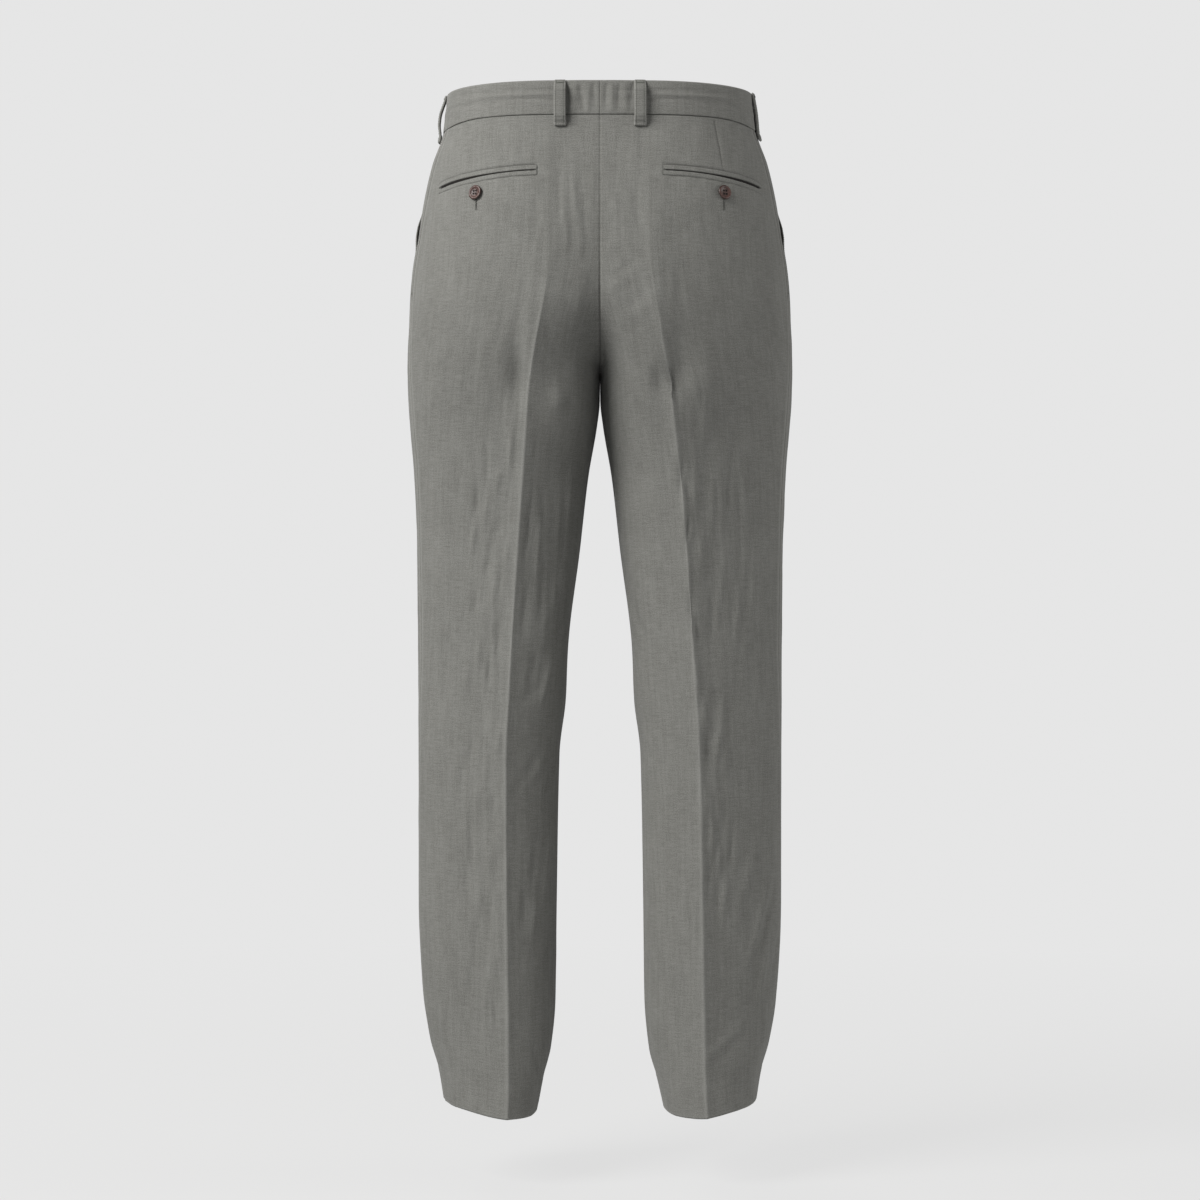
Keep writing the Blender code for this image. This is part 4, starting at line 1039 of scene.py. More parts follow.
# Painted shade at the centre back seam and along the lower seam; the top fold is paler from rubbing.
CENTRE_SHADE, LOWER_SHADE, TOP_RUB = (0.15, 0.8), (0.6, 0.5), (0.4, 1.6)
TAB_LENGTH, TAB_LIFT_REACH, TAB_SHARES = 40.0, 16.0, np.linspace(0.0, 1.0, 25)[1:]
BAND_RISE = BAND_WALL + 0.3
BAND_SEEDS = {"left": 61, "right": 65}


def band_places(drop, marks):
    """Columns of a waistband half, from the centre back seam to the centre front."""
    back = stretch(0.0, marks["crease_back"], marks["side_seam"],
                   crowded(*BAND_BACK), crowded(*BAND_SIDE))
    front = stretch(marks["side_seam"], marks["crease_front"], marks["inner_front"],
                    crowded(*BAND_FRONT), crowded(*BAND_CENTRE))
    return np.concatenate((back, front[1:]))


def level(normals):
    """The same normals without their up or down part."""
    flat = normals * (1.0, 1.0, 0.0)
    return flat / np.linalg.norm(flat, axis=2)[:, :, None]


def band_relief(plain, seed):
    """Puckers and belt creases, the roll at the lower seam and at the centre back."""
    across = plain.along - BAND_FOLDS_FROM
    down = np.broadcast_to(plain.drops[:, None], across.shape)
    ends = plain.along[:, -1:]
    calm = 1.0 - ease(plain.along, ends - BAND_CALM[0], ends - BAND_CALM[1])
    upper, lower = BAND_CALM_DROPS
    edges = ease(plain.drops, *upper) * (1.0 - ease(plain.drops, *lower))
    lift = fold_lift(BAND_FOLDS, across, plain.drops)
    lift += sum(high * soft_noise(across / wide, down / long, seed + step)
                for step, (wide, long, high) in enumerate(BAND_RUMPLES))
    seam = bell(BAND_DEPTH - plain.drops, BAND_ROLL_REACH)[:, None]
    rolls = BAND_CENTRE_ROLL * bell(plain.along, BAND_ROLL_REACH) + BAND_SEAM_ROLL * seam
    return lift * calm * edges[:, None] - rolls


def tab_grid(half, rise):
    """The tab past the centre front: the band's end, mirrored and lifted off the right half."""
    ends = half.along[:, -1:]
    alongs = ends + TAB_LENGTH * TAB_SHARES
    points = np.zeros((len(half.drops), len(TAB_SHARES), 3))
    normals = np.zeros_like(points)
    for r, drop in enumerate(half.drops):
        for c, along in enumerate(alongs[r]):
            point, normal = half.at(2 * ends[r, 0] - along, drop)
            points[r, c] = (point + normal * rise * MM) * OTHER_SIDE
            normals[r, c] = normal * OTHER_SIDE
    return Grid(points, normals, alongs, half.drops)


def waistband(leg, seed):
    """A waistband half: the plain band, and the band with its relief."""
    half, _ = grid_of(leg, BAND_DROPS, band_places)
    half.normals = level(half.normals)
    half.points[:, 0, 0] = 0.0
    half = Grid(half.points + half.normals * BAND_PROUD * MM, half.normals, half.along, half.drops)
    lift = band_relief(half, seed)
    if leg == "left":
        tab = tab_grid(half, BAND_RISE)
        ends = half.along[:, -1:]
        rise = (BAND_RISE * ease(half.along, ends - TAB_LIFT_REACH, ends))[:, :, None]
        raised = half.points + half.normals * rise * MM
        half = Grid(np.concatenate((raised, tab.points), axis=1),
                    np.concatenate((half.normals, tab.normals), axis=1),
                    np.concatenate((half.along, tab.along), axis=1), half.drops)
        lift = np.concatenate((lift, np.repeat(lift[:, -1:], len(TAB_SHARES), axis=1)), axis=1)
    points = half.points + half.normals * lift[:, :, None] * MM
    return half, Grid(points, half.normals, half.along, half.drops)


for leg in ("left", "right"):
    formed, grid = waistband(leg, BAND_SEEDS[leg])
    name = "cloth_waistband_" + leg
    PLAIN["band", leg], FACE["band", leg], CUTS[name] = formed, grid, cut_size(formed)
    (centre, centre_reach), (low, low_reach), (top, top_reach) = CENTRE_SHADE, LOWER_SHADE, TOP_RUB
    # Painted shade at the centre back and along the lower seam, and a paler top fold.
    lower = low * bell(BAND_DEPTH - grid.drops, low_reach)[:, None]
    shaded = -np.maximum(centre * bell(grid.along, centre_reach), lower)
    shaded += top * bell(grid.drops, top_reach)[:, None]
    PIECES[name] = shell(name, grid, BAND_WALL, leg == "right", ("top", "last"), shaded)
    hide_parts("waistband_" + leg)
    print(name, "cut:", [round(size, 3) for size in CUTS[name]])

# %% [markdown]
# ## Belt loops
#
# A belt loop is a strip folded to a centimetre's width, stitched along both edges, caught into the
# top of the band and turned under at its lower end, just below the band seam. Between its ends it
# stands off to let a belt through. Its cross-section is a slightly domed bar with two shallow
# stitch grooves, swept along the standing line.

# %% Make the loops
LOOP_WIDTH, LOOP_THICK, LOOP_TOP_DROP = 10.5, 2.1, 0.6
LOOP_LENGTHS = {"back": 45.6, "side": 43.0, "front": 46.0}
LOOP_STAND = {"back": (5.7, 5.7), "side": (4.4, 1.3), "front": (6.4, 6.4)}
LOOP_BENDS, LOOP_SEAT = {"back": 0.22, "side": 0.46, "front": 0.22}, 0.4
LOOP_FOLD, LOOP_FOLD_SHARES = 0.9, (0.84, 0.90)
LOOP_BACK_ALONG, LOOP_FRONT_ALONG, LOOP_SIDE_AHEAD = 40.5, 72.0, {"left": 2.0, "right": -18.0}
LOOP_ROWS, LOOP_COLUMNS = (64, 0.5), (17, 0.7)
LOOP_STITCH, LOOP_GROOVE, LOOP_GROOVE_REACH, LOOP_DOME = 3.9, 0.22, 0.45, 0.35
# The loop's edges are paler from rubbing; painted shade lies along its stitch grooves.
LOOP_EDGE_RUB, LOOP_EDGE, LOOP_STITCH_SHADE, LOOP_SHADE_REACH = 0.5, (4.6, 5.25), 0.5, 0.4


def loop_grid(length, stand_off, bend_share, center, under_top, under_end):
    """Outer face of a loop; distances along run over its width, and drops down its length."""
    shares = crowded(*LOOP_ROWS)
    widths = LOOP_WIDTH * (crowded(*LOOP_COLUMNS) - 0.5)
    points = np.zeros((len(shares), len(widths), 3))
    normals = np.zeros_like(points)
    for i, share in enumerate(shares):
        drop = LOOP_TOP_DROP + length * share
        stand = stand_off * ease(min(share, 1.0 - share), 0.0, bend_share)
        over_seam = BAND_PROUD * ease(drop, BAND_DEPTH - 2.0, BAND_DEPTH)
        under = under_top if drop <= BAND_DEPTH - 0.2 else under_end
        thick = LOOP_THICK + LOOP_FOLD * ease(share, *LOOP_FOLD_SHARES)
        for j, width in enumerate(widths):
            point, normal = under.at(center(drop) + width, max(drop, under.drops[0]))
            normal = level(normal.reshape(1, 1, 3))[0, 0]
            dome = LOOP_DOME * (abs(width) / (LOOP_WIDTH / 2)) ** 4
            groove = LOOP_GROOVE * bell(abs(width) - LOOP_STITCH, LOOP_GROOVE_REACH)
            lift = LOOP_SEAT + over_seam + stand + thick - dome - groove
            top = (0.0, 0.0, max(under.drops[0] - drop, 0.0) * MM)
            points[i, j] = point + normal * lift * MM + top
            normals[i, j] = normal
    drops = shares * length
    return Grid(points, normals, np.broadcast_to(widths, (len(shares), len(widths))).copy(), drops)


for leg in ("left", "right"):
    routes = (
        ("back", "back", lambda drop: LOOP_BACK_ALONG),
        ("side", "facing", lambda drop: outline(leg, drop)[2]["widest"] + LOOP_SIDE_AHEAD[leg]),
        ("front", "front", lambda drop: outline(leg, drop)[2]["inner_front"] - LOOP_FRONT_ALONG),
    )
    for place, under, center in routes:
        length = LOOP_LENGTHS[place]
        grid = loop_grid(length, LOOP_STAND[place][leg == "right"], LOOP_BENDS[place], center,
                         PLAIN["band", leg], PLAIN[under, leg])
        name = "cloth_belt_loop_" + place + "_" + leg
        walls = LOOP_THICK + LOOP_FOLD * ease(grid.drops / length, *LOOP_FOLD_SHARES)
        from_middle = np.abs(grid.along)
        shaded = LOOP_EDGE_RUB * ease(from_middle, *LOOP_EDGE)
        # Painted shade along the stitch grooves.
        shaded = shaded - LOOP_STITCH_SHADE * bell(from_middle - LOOP_STITCH, LOOP_SHADE_REACH)
        FACE["loop_" + place, leg], CUTS[name] = grid, cut_size(grid)
        PIECES[name] = shell(name, grid, walls[:, None], leg == "right",
                             ("top", "last", "bottom", "first"), shaded)
        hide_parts("belt_loop_" + place + "_" + leg)
print("belt loops:", sum("belt_loop" in name for name in PIECES), "lengths:", LOOP_LENGTHS)

# %% [markdown]
# ## Back pocket welts
#
# Each back pocket is a slit edged by two narrow welts, which are folds of cloth that turn in at
# the slit and are seamed flush along their outer edges. The slit gapes a little towards the side.
# A welt is a strip between two lines of drops on the panel, with the cross-section of a fold.

# %% Make the welts
WELT_HEIGHT, WELT_SUNK, WELT_CROWN, WELT_FALL, WELT_WALL = 5.2, -0.9, 1.45, 0.95, 0.15
WELT_TURN, WELT_FALLS, WELT_COLUMNS = 0.2, (0.78, 1.0), 70
# Painted shadow along each welt's seamed edge, strong on the upper welt, and painted shade at the slit's
# edge.
WELT_SEAM_SHADES, WELT_SEAM_SHARES = {-1: 1.3, 1: 0.15}, (0.86, 1.0)
WELT_SLIT_SHADE, WELT_SLIT_REACH = 1.2, 0.05
SLIT_CLOSED, SLIT_OPEN, SLIT_SHARES, SLIT_END = 0.36, 1.20, (0.25, 0.85), (0.96, 1.0)
WELT_SHARES = np.concatenate(([0.0, 0.02, 0.06, 0.12, 0.20], np.linspace(0.3, 0.8, 6),
                              [0.88, 0.95, 1.0]))


def welt(name, leg, side):
    """One welt above (side -1) or below (side 1) the slit."""
    alongs = np.linspace(POCKET_INNER, POCKET_OUTER, WELT_COLUMNS)
    share = (alongs - POCKET_INNER) / (POCKET_OUTER - POCKET_INNER)
    opened = ease(share, *SLIT_SHARES) * (1.0 - ease(share, *SLIT_END))
    gape = SLIT_CLOSED + (SLIT_OPEN - SLIT_CLOSED) * opened
    across = WELT_SHARES if side > 0 else WELT_SHARES[::-1]
    turn = np.sqrt(1.0 - (1.0 - np.clip(across / WELT_TURN, 0.0, 1.0)) ** 2)
    lifts = WELT_SUNK + WELT_CROWN * turn - WELT_FALL * ease(across, *WELT_FALLS)
    outer, normals, low = [], [], []
    for part, lift in zip(across, lifts):
        drops = pocket_line(alongs) + side * (gape + WELT_HEIGHT * part)
        points, faces = PLAIN["back", leg].trace(alongs, drops)
        outer.append(points + faces * lift * MM)
        low.append(points + faces * (WELT_SUNK - WELT_WALL) * MM)
        normals.append(faces)
    drops = POCKET_DROP + side * WELT_HEIGHT * across
    spread = np.broadcast_to(alongs, (len(drops), len(alongs))).copy()
    grid = Grid(np.array(outer), np.array(normals), spread, drops)
    # Painted shadow along the welt's seamed edge and painted shade at its slit edge.
    shaded = -WELT_SEAM_SHADES[side] * ease(across, *WELT_SEAM_SHARES)[:, None]
    shaded = shaded - WELT_SLIT_SHADE * bell(across, WELT_SLIT_REACH)[:, None]
    return grid, shell(name, grid, 0.0, leg == "right", (), shaded, np.array(low))


for leg in ("left", "right"):
    for place, side in (("upper", -1), ("lower", 1)):
        name = "cloth_welt_" + place + "_" + leg
        FACE["welt_" + place, leg], PIECES[name] = welt(name, leg, side)
        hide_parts("welt_" + place + "_" + leg)
print("slit:", round(POCKET_OUTER - POCKET_INNER), "mm long")

# %% [markdown]
# ## Stitches
#
# A seam is a thread that dives and rises at a steady pitch, so what shows is a row of short,
# slightly arched stitches. They could be modelled one by one, but a Geometry Nodes tree suits what
# repeats along a path: it spaces points at the pitch, lays one small curved thread on each, turned
# along the path and standing on the cloth, and makes them real at the end. Turned across the path
# and set close together, the same stitch makes bar tacks and buttonholes.

# %% A tree that sews along a path
STITCH_SIDES, STITCH_BENDS, STITCH_SEED, STITCH_SWAY = 5, 4, 7, 0.05
# A stitch's arc: a share of its length or thread, the arc's point that it moves, and the axis.
STITCH_ARC = (("Length", -0.5, "Start", "X"), ("Thread", 2.4, "Middle", "Z"), ("Length", 0.5, "End", "X"))
STITCH_SIZES = (("Pitch", 2.6 * MM), ("Length", 2.0 * MM), ("Thread", 0.15 * MM), ("Turn", 0.0))


def stitch_tree():
    """Seam path in, stitches out; the path's points carry an 'up' vector that leaves the cloth."""
    tree = bpy.data.node_groups.new("stitches", "GeometryNodeTree")
    tree.interface.new_socket("Seam", in_out="INPUT", socket_type="NodeSocketGeometry")
    for name, size in STITCH_SIZES:
        entry = tree.interface.new_socket(name, in_out="INPUT", socket_type="NodeSocketFloat")
        entry.default_value = size
    tree.interface.new_socket("Finish", in_out="INPUT", socket_type="NodeSocketMaterial")
    tree.interface.new_socket("Stitches", in_out="OUTPUT", socket_type="NodeSocketGeometry")

    def node(kind, **settings):
        made = tree.nodes.new(kind)
        for key, value in settings.items():
            setattr(made, key, value)
        return made

    def join(start, output, end, entry):
        tree.links.new(start.outputs[output], end.inputs[entry])

    given, result = node("NodeGroupInput"), node("NodeGroupOutput")
    path, spaced = node("GeometryNodeMeshToCurve"), node("GeometryNodeResampleCurve", mode="LENGTH")
    join(given, "Seam", path, "Mesh")
    join(path, "Curve", spaced, "Curve")
    join(given, "Pitch", spaced, "Length")

    tangent = node("GeometryNodeInputTangent")
    up = node("GeometryNodeInputNamedAttribute", data_type="FLOAT_VECTOR")
    up.inputs["Name"].default_value = "up"
    ahead = node("FunctionNodeAlignRotationToVector", axis="X")
    stand = node("FunctionNodeAlignRotationToVector", axis="Z", pivot_axis="X")
    join(tangent, "Tangent", ahead, "Vector")
    join(ahead, "Rotation", stand, "Rotation")
    join(up, "Attribute", stand, "Vector")

    sway = node("FunctionNodeRandomValue", data_type="FLOAT")
    sway.inputs[2].default_value = -STITCH_SWAY
    sway.inputs[3].default_value = STITCH_SWAY
    sway.inputs["Seed"].default_value = STITCH_SEED
    total = node("ShaderNodeMath", operation="ADD")
    join(given, "Turn", total, 0)
    tree.links.new(sway.outputs[1], total.inputs[1])
    spin = node("FunctionNodeAxisAngleToRotation")
    spin.inputs["Axis"].default_value = (0.0, 0.0, 1.0)
    join(total, "Value", spin, "Angle")
    turned = node("FunctionNodeRotateRotation", rotation_space="LOCAL")
    join(stand, "Rotation", turned, "Rotation")
    join(spin, "Rotation", turned, "Rotate By")

    arc = node("GeometryNodeCurveQuadraticBezier")
    arc.inputs["Resolution"].default_value = STITCH_BENDS
    for size, share, entry, axis in STITCH_ARC:
        value, place = node("ShaderNodeMath", operation="MULTIPLY"), node("ShaderNodeCombineXYZ")
        value.inputs[1].default_value = share
        join(given, size, value, 0)
        join(value, "Value", place, axis)
        join(place, "Vector", arc, entry)
    round_thread = node("GeometryNodeCurvePrimitiveCircle")
    round_thread.inputs["Resolution"].default_value = STITCH_SIDES
    join(given, "Thread", round_thread, "Radius")
    thread = node("GeometryNodeCurveToMesh")
    thread.inputs["Fill Caps"].default_value = True
    join(arc, "Curve", thread, "Curve")
    join(round_thread, "Curve", thread, "Profile Curve")

    laid, real = node("GeometryNodeInstanceOnPoints"), node("GeometryNodeRealizeInstances")
    soft, finish = node("GeometryNodeSetShadeSmooth"), node("GeometryNodeSetMaterial")
    join(spaced, "Curve", laid, "Points")
    join(thread, "Mesh", laid, "Instance")
    join(turned, "Rotation", laid, "Rotation")
    join(laid, "Instances", real, "Geometry")
    join(real, "Geometry", soft, "Geometry")
    join(soft, "Geometry", finish, "Geometry")
    join(given, "Finish", finish, "Material")
    join(finish, "Geometry", result, "Stitches")
    return tree


STITCHES = stitch_tree()
print("stitch tree:", len(STITCHES.nodes), "nodes")


# %% Sew lines with it
def sew(name, lines, leg, finish, **sizes):
    """Stitches along lines, each told by its points and the directions that leave the cloth."""
    points = np.concatenate([line[0] for line in lines])
    ups = np.concatenate([line[1] for line in lines])
    if leg == "right":
        points, ups = points * OTHER_SIDE, ups * OTHER_SIDE
    edges, start = [], 0
    for line in lines:
        edges += [(start + i, start + i + 1) for i in range(len(line[0]) - 1)]
        start += len(line[0])
    mesh = bpy.data.meshes.new(name + "_path")
    mesh.from_pydata(points.tolist(), edges, [])
    away = mesh.attributes.new("up", "FLOAT_VECTOR", "POINT")
    away.data.foreach_set("vector", ups.astype(np.float32).ravel())
    path = placed(name + "_path", mesh)
    work = path.modifiers.new("stitches", "NODES")
    work.node_group = STITCHES
    for item in STITCHES.interface.items_tree:
        if item.in_out == "INPUT" and item.name in sizes:
            work[item.identifier] = float(sizes[item.name])
        if item.name == "Finish":
            work[item.identifier] = finish
    sewn = worked_out(path)
    bpy.data.objects.remove(path)
    bpy.data.meshes.remove(mesh)
    sewn.name = name
    PIECES[name] = placed(name, sewn)


print("usual stitch:", dict(STITCH_SIZES))

# %% [markdown]
# ## Finishes
#
# Linen is a plain weave of flax yarns that are never even: thick places, called slubs, show as
# short streaks along the weft and the warp. Weave and slubs are drawn in the cloth's own UV, so
# they follow the grain of every panel. They colour the cloth a little and raise it a little. The
# attribute on each piece makes the cloth paler from rubbing at creases and the hem and from a
# highlight painted on the seam banks, and darker with painted shade in seams, slits and grooves,
# near black in the pocket slits. Roughness stays high, with a touch of sheen, because flax fibres
# catch light at a glancing angle. The numbers given to a noise are how many of its swells lie on
# a metre of cloth.

# %% Linen
YARN, WAVER_WEFT, WAVER_WARP = 0.42 * MM, 2.2 * MM, 1.6 * MM
LINEN_DARK, LINEN_MID, LINEN_LIGHT = (0.171, 0.170, 0.157), (0.224, 0.224, 0.209), (0.271, 0.271, 0.255)
# Colours the attribute brings: painted shade, the paler colour of rubbing and painted highlight, and
# near-black painted shade for slits and buttonhole cuts.
LINEN_PAINTED_SHADE, LINEN_RUB_AND_HIGHLIGHT, LINEN_PAINTED_DEEP_SHADE = (0.070, 0.069, 0.063), (0.332, 0.332, 0.315), (0.012, 0.010, 0.009)
# What the attribute on each piece does: the colour it brings, from which value to which, and how
# much. The rows are paleness from rubbing and painted highlight, painted shade, and near-black
# painted shade.
LINEN_WEAR_AND_PAINTED_LIGHT = ((LINEN_RUB_AND_HIGHLIGHT, 0.0, 1.0, 0.55), (LINEN_PAINTED_SHADE, 0.0, -1.0, 0.80), (LINEN_PAINTED_DEEP_SHADE, -1.2, -2.0, 1.0))


class Finish:
    """A material whose node tree is built with short calls; most return a socket to go on from."""

    def __init__(self, name, roughness):
        self.material = bpy.data.materials.new(name)
        self.material.use_nodes = True
        self.tree = self.material.node_tree
        self.shader = self.tree.nodes["Principled BSDF"]
        self.shader.inputs["Roughness"].default_value = roughness

    def node(self, kind, **settings):
        """A new node with its settings."""
        made = self.tree.nodes.new(kind)
        for key, value in settings.items():
            setattr(made, key, value)
        return made

    def put(self, socket, value):
        """A link where the value is a socket, else a plain value."""
        if isinstance(value, bpy.types.NodeSocket):
            self.tree.links.new(value, socket)
        else:
            socket.default_value = value

    def filled(self, made, values):
        """A node's first output, after its inputs are given values in order."""
        for socket, value in zip(made.inputs, values):
            self.put(socket, value)
        return made.outputs[0]

    def math(self, operation, *values):
        """Values worked together by an operation."""
        return self.filled(self.node("ShaderNodeMath", operation=operation), values)

    def vector(self, x, y, z=0.0):
        """Three values as one vector."""
        return self.filled(self.node("ShaderNodeCombineXYZ"), (x, y, z))

    def noise(self, vector, scale, detail=2.0, distortion=0.0):
        """Soft noise from 0 to 1 at a vector."""
        made = self.node("ShaderNodeTexNoise")
        self.put(made.inputs["Vector"], vector)
        made.inputs["Scale"].default_value = scale
        made.inputs["Detail"].default_value = detail
        made.inputs["Distortion"].default_value = distortion
        return made.outputs["Fac"]

    def yarns(self, u, v, across, along, apart=0.0, detail=3.0):
        """Noise drawn out like yarns: so many to a metre each way, and apart from other layers."""
        place = self.vector(self.math("MULTIPLY", u, across), self.math("MULTIPLY", v, along), apart)
        return self.noise(place, 1.0, detail)

    def ramp(self, value, start, end, low=0.0, high=1.0):
        """A value carried from one range to another and held inside it."""
        made = self.node("ShaderNodeMapRange")
        self.put(made.inputs["Value"], value)
        for name, number in (("From Min", start), ("From Max", end), ("To Min", low), ("To Max", high)):
            made.inputs[name].default_value = number
        return made.outputs["Result"]

    def mix(self, factor, first, second):
        """Two colours mixed by a factor."""
        made = self.node("ShaderNodeMix", data_type="RGBA")
        self.put(made.inputs["Factor"], factor)
        for socket, colour in ((made.inputs[6], first), (made.inputs[7], second)):
            self.put(socket, colour if isinstance(colour, bpy.types.NodeSocket) else (*colour, 1.0))
        return made.outputs[2]

    def shade(self, **values):
        """Values or sockets for the shader's inputs, each named with _ for a space."""
        for name, value in values.items():
            self.put(self.shader.inputs[name.replace("_", " ")], value)

    def raise_by(self, height, strength, depth):
        """Fine relief in the shading, from a height and a depth in metres."""
        raised = self.node("ShaderNodeBump")
        raised.inputs["Strength"].default_value = strength
        raised.inputs["Distance"].default_value = depth
        self.put(raised.inputs["Height"], height)
        self.shade(Normal=raised.outputs["Normal"])


def linen_finish():
    """Plain-woven flax in grey-green, with slubs, mottling, paleness from rubbing, painted highlight and
    painted shade.
    """
    linen = Finish("linen", 0.88)
    place = linen.node("ShaderNodeUVMap", uv_map="Cloth").outputs["UV"]
    split = linen.node("ShaderNodeSeparateXYZ")
    linen.put(split.inputs[0], place)
    u, v = split.outputs[0], split.outputs[1]
    bent = linen.noise(place, 90.0, 3.0)
    u_bent = linen.math("MULTIPLY_ADD", bent, WAVER_WARP, u)
    v_bent = linen.math("MULTIPLY_ADD", bent, WAVER_WEFT, v)
    over = linen.math("SINE", linen.math("MULTIPLY", u_bent, math.pi / YARN))
    under = linen.math("SINE", linen.math("MULTIPLY", v_bent, math.pi / YARN))
    weave = linen.math("MULTIPLY", over, under)
    weft = linen.yarns(u, v_bent, 70.0, 700.0)
    warp = linen.yarns(u_bent, v, 1000.0, 60.0, 7.0)
    slub = linen.ramp(linen.yarns(u, v_bent, 38.0, 760.0, 3.0, 2.0), 0.67, 0.78)
    streak = linen.yarns(u_bent, v, 260.0, 16.0, 5.0)
    grain = linen.noise(place, 950.0, 3.0)
    patch = linen.noise(place, 26.0, 4.0, 0.6)
    # Each layer swings the tone down and up by so much, between two values of its noise.
    layers = ((weft, 0.25, 0.75, 0.64), (warp, 0.25, 0.75, 0.42), (grain, 0.25, 0.75, 1.50),
              (streak, 0.3, 0.7, 0.30), (patch, 0.3, 0.7, 0.24))
    tone = linen.math("MULTIPLY", weave, 0.06)
    for layer, low, high, swing in layers:
        tone = linen.math("ADD", tone, linen.ramp(layer, low, high, -swing, swing))
    tone = linen.math("MULTIPLY_ADD", slub, -0.90, tone)
    colour = linen.mix(linen.ramp(tone, 0.0, 1.0), LINEN_MID, LINEN_LIGHT)
    colour = linen.mix(linen.ramp(tone, 0.0, -1.0), colour, LINEN_DARK)
    # Rubbing and painted highlight make the cloth paler; painted shade makes it darker, near black in
    # slits.
    painted_and_worn = linen.node("ShaderNodeAttribute", attribute_name="wear_and_painted_light").outputs["Fac"]
    for brought, start, end, most in LINEN_WEAR_AND_PAINTED_LIGHT:
        colour = linen.mix(linen.ramp(painted_and_worn, start, end, 0.0, most), colour, brought)
    relief = linen.math("ADD", linen.math("MULTIPLY_ADD", weave, 0.25, grain),
                        linen.math("ADD", weft, warp))
    linen.raise_by(linen.math("MULTIPLY_ADD", slub, 0.6, relief), 0.55, 0.22 * MM)
    linen.shade(Base_Color=colour, Roughness=linen.ramp(weft, 0.3, 0.7, 0.82, 0.94),
                Specular_IOR_Level=0.25, Sheen_Weight=0.12, Sheen_Roughness=0.45)
    return linen.material


LINEN = linen_finish()
print("linen:", len(LINEN.node_tree.nodes), "nodes")


# %% Thread and button resin
RESIN_DARK, RESIN_LIGHT = (0.062, 0.031, 0.027), (0.140, 0.078, 0.066)
# RESIN_FLECK is the colour of flecks in the resin; the other is the near-black painted shade of a button's
# holes and rim.
RESIN_FLECK, RESIN_PAINTED_SHADE = (0.17, 0.10, 0.085), (0.008, 0.005, 0.004)


def thread_finish(name, dark, light):
    """Twisted sewing thread."""
    thread = Finish(name, 0.7)
    place = thread.node("ShaderNodeTexCoord").outputs["Object"]
    twist = thread.noise(place, 2600.0, 2.0)
    fade = thread.noise(place, 60.0, 2.0)
    mixed = thread.math("MULTIPLY_ADD", fade, 0.5, thread.math("MULTIPLY", twist, 0.6))
    thread.raise_by(twist, 0.4, 0.05 * MM)
    thread.shade(Base_Color=thread.mix(thread.ramp(mixed, 0.3, 0.8), dark, light), Sheen_Weight=0.1)
    return thread.material


def resin_finish():
    """Dark brown resin, clouded like horn and polished, with painted shade in its holes and round its rim.
    """
    resin = Finish("button_resin", 0.42)
    place = resin.node("ShaderNodeTexCoord").outputs["Object"]
    cloud = resin.noise(place, 190.0, 4.0, 1.4)
    fleck = resin.noise(place, 900.0, 2.0, 0.5)
    colour = resin.mix(resin.ramp(cloud, 0.35, 0.7), RESIN_DARK, RESIN_LIGHT)
    colour = resin.mix(resin.ramp(fleck, 0.6, 0.8, 0.0, 0.35), colour, RESIN_FLECK)
    # Painted shade from the attribute darkens the holes and the rim.
    painted_and_worn = resin.node("ShaderNodeAttribute", attribute_name="wear_and_painted_light").outputs["Fac"]
    colour = resin.mix(resin.ramp(painted_and_worn, 0.0, 1.0), colour, RESIN_PAINTED_SHADE)
    resin.raise_by(cloud, 0.15, 0.05 * MM)
    resin.shade(Base_Color=colour, Roughness=resin.ramp(fleck, 0.3, 0.7, 0.36, 0.50),
                Coat_Weight=0.12, Coat_Roughness=0.15)
    return resin.material


SEWING = thread_finish("sewing_thread", (0.100, 0.105, 0.092), (0.190, 0.198, 0.174))
HOLE_THREAD = thread_finish("buttonhole_thread", (0.130, 0.130, 0.118), (0.215, 0.215, 0.198))
BUTTON_THREAD = thread_finish("button_thread", (0.030, 0.017, 0.015), (0.060, 0.034, 0.030))
RESIN = resin_finish()
for piece in PIECES.values():
    piece.data.materials.append(LINEN)
print("finishes:", [m.name for m in (LINEN, SEWING, HOLE_THREAD, BUTTON_THREAD, RESIN)])

# %% [markdown]
# ## Where the seams are stitched
#
# The stitches that show are few on tailored trousers: the row that holds the band down, beside its
# seam; both edges of every belt loop; the slant pocket mouths; the curved line that holds the fly;
# and the short bars that take the strain at the ends of pockets, loops and fly.

# %% Sew the visible lines
FLY_STITCH_IN, FLY_STITCH_TIP, FLY_TACK_IN, FLY_TACK_LONG = 34.0, 2.0, 3.5, 8.0
FLY_START_DROP, FLY_TURN_DROP, FLY_END_DROP = 37.0, 150.0, 198.0
MOUTH_STITCH_IN, MOUTH_STITCH_DROPS, MOUTH_TACK_DROPS = 6.0, (37.0, 214.0), (62.0, 210.0)
MOUTH_TACK_IN, MOUTH_TACK_WIDE, POCKET_TACK_IN, POCKET_TACK_LONG = 3.6, 6.4, 0.3, 10.6
LOOP_STITCH_ENDS, LOOP_TACK_DROP, LOOP_TACK_WIDE = (1.0, 1.2), 2.6, 7.6
BAND_STITCH_BELOW, BAND_STITCH_ENDS = 0.55, {"back": (1.5, 0.5), "front": (0.5, 1.5)}
TACK = {"Pitch": 0.34 * MM, "Length": 1.7 * MM, "Thread": 0.17 * MM, "Turn": math.pi / 2}
EDGE_STITCH = {"Pitch": 2.5 * MM, "Length": 1.9 * MM, "Thread": 0.14 * MM}
BAND_STITCH = {"Pitch": 2.3 * MM, "Length": 1.7 * MM, "Thread": 0.13 * MM}
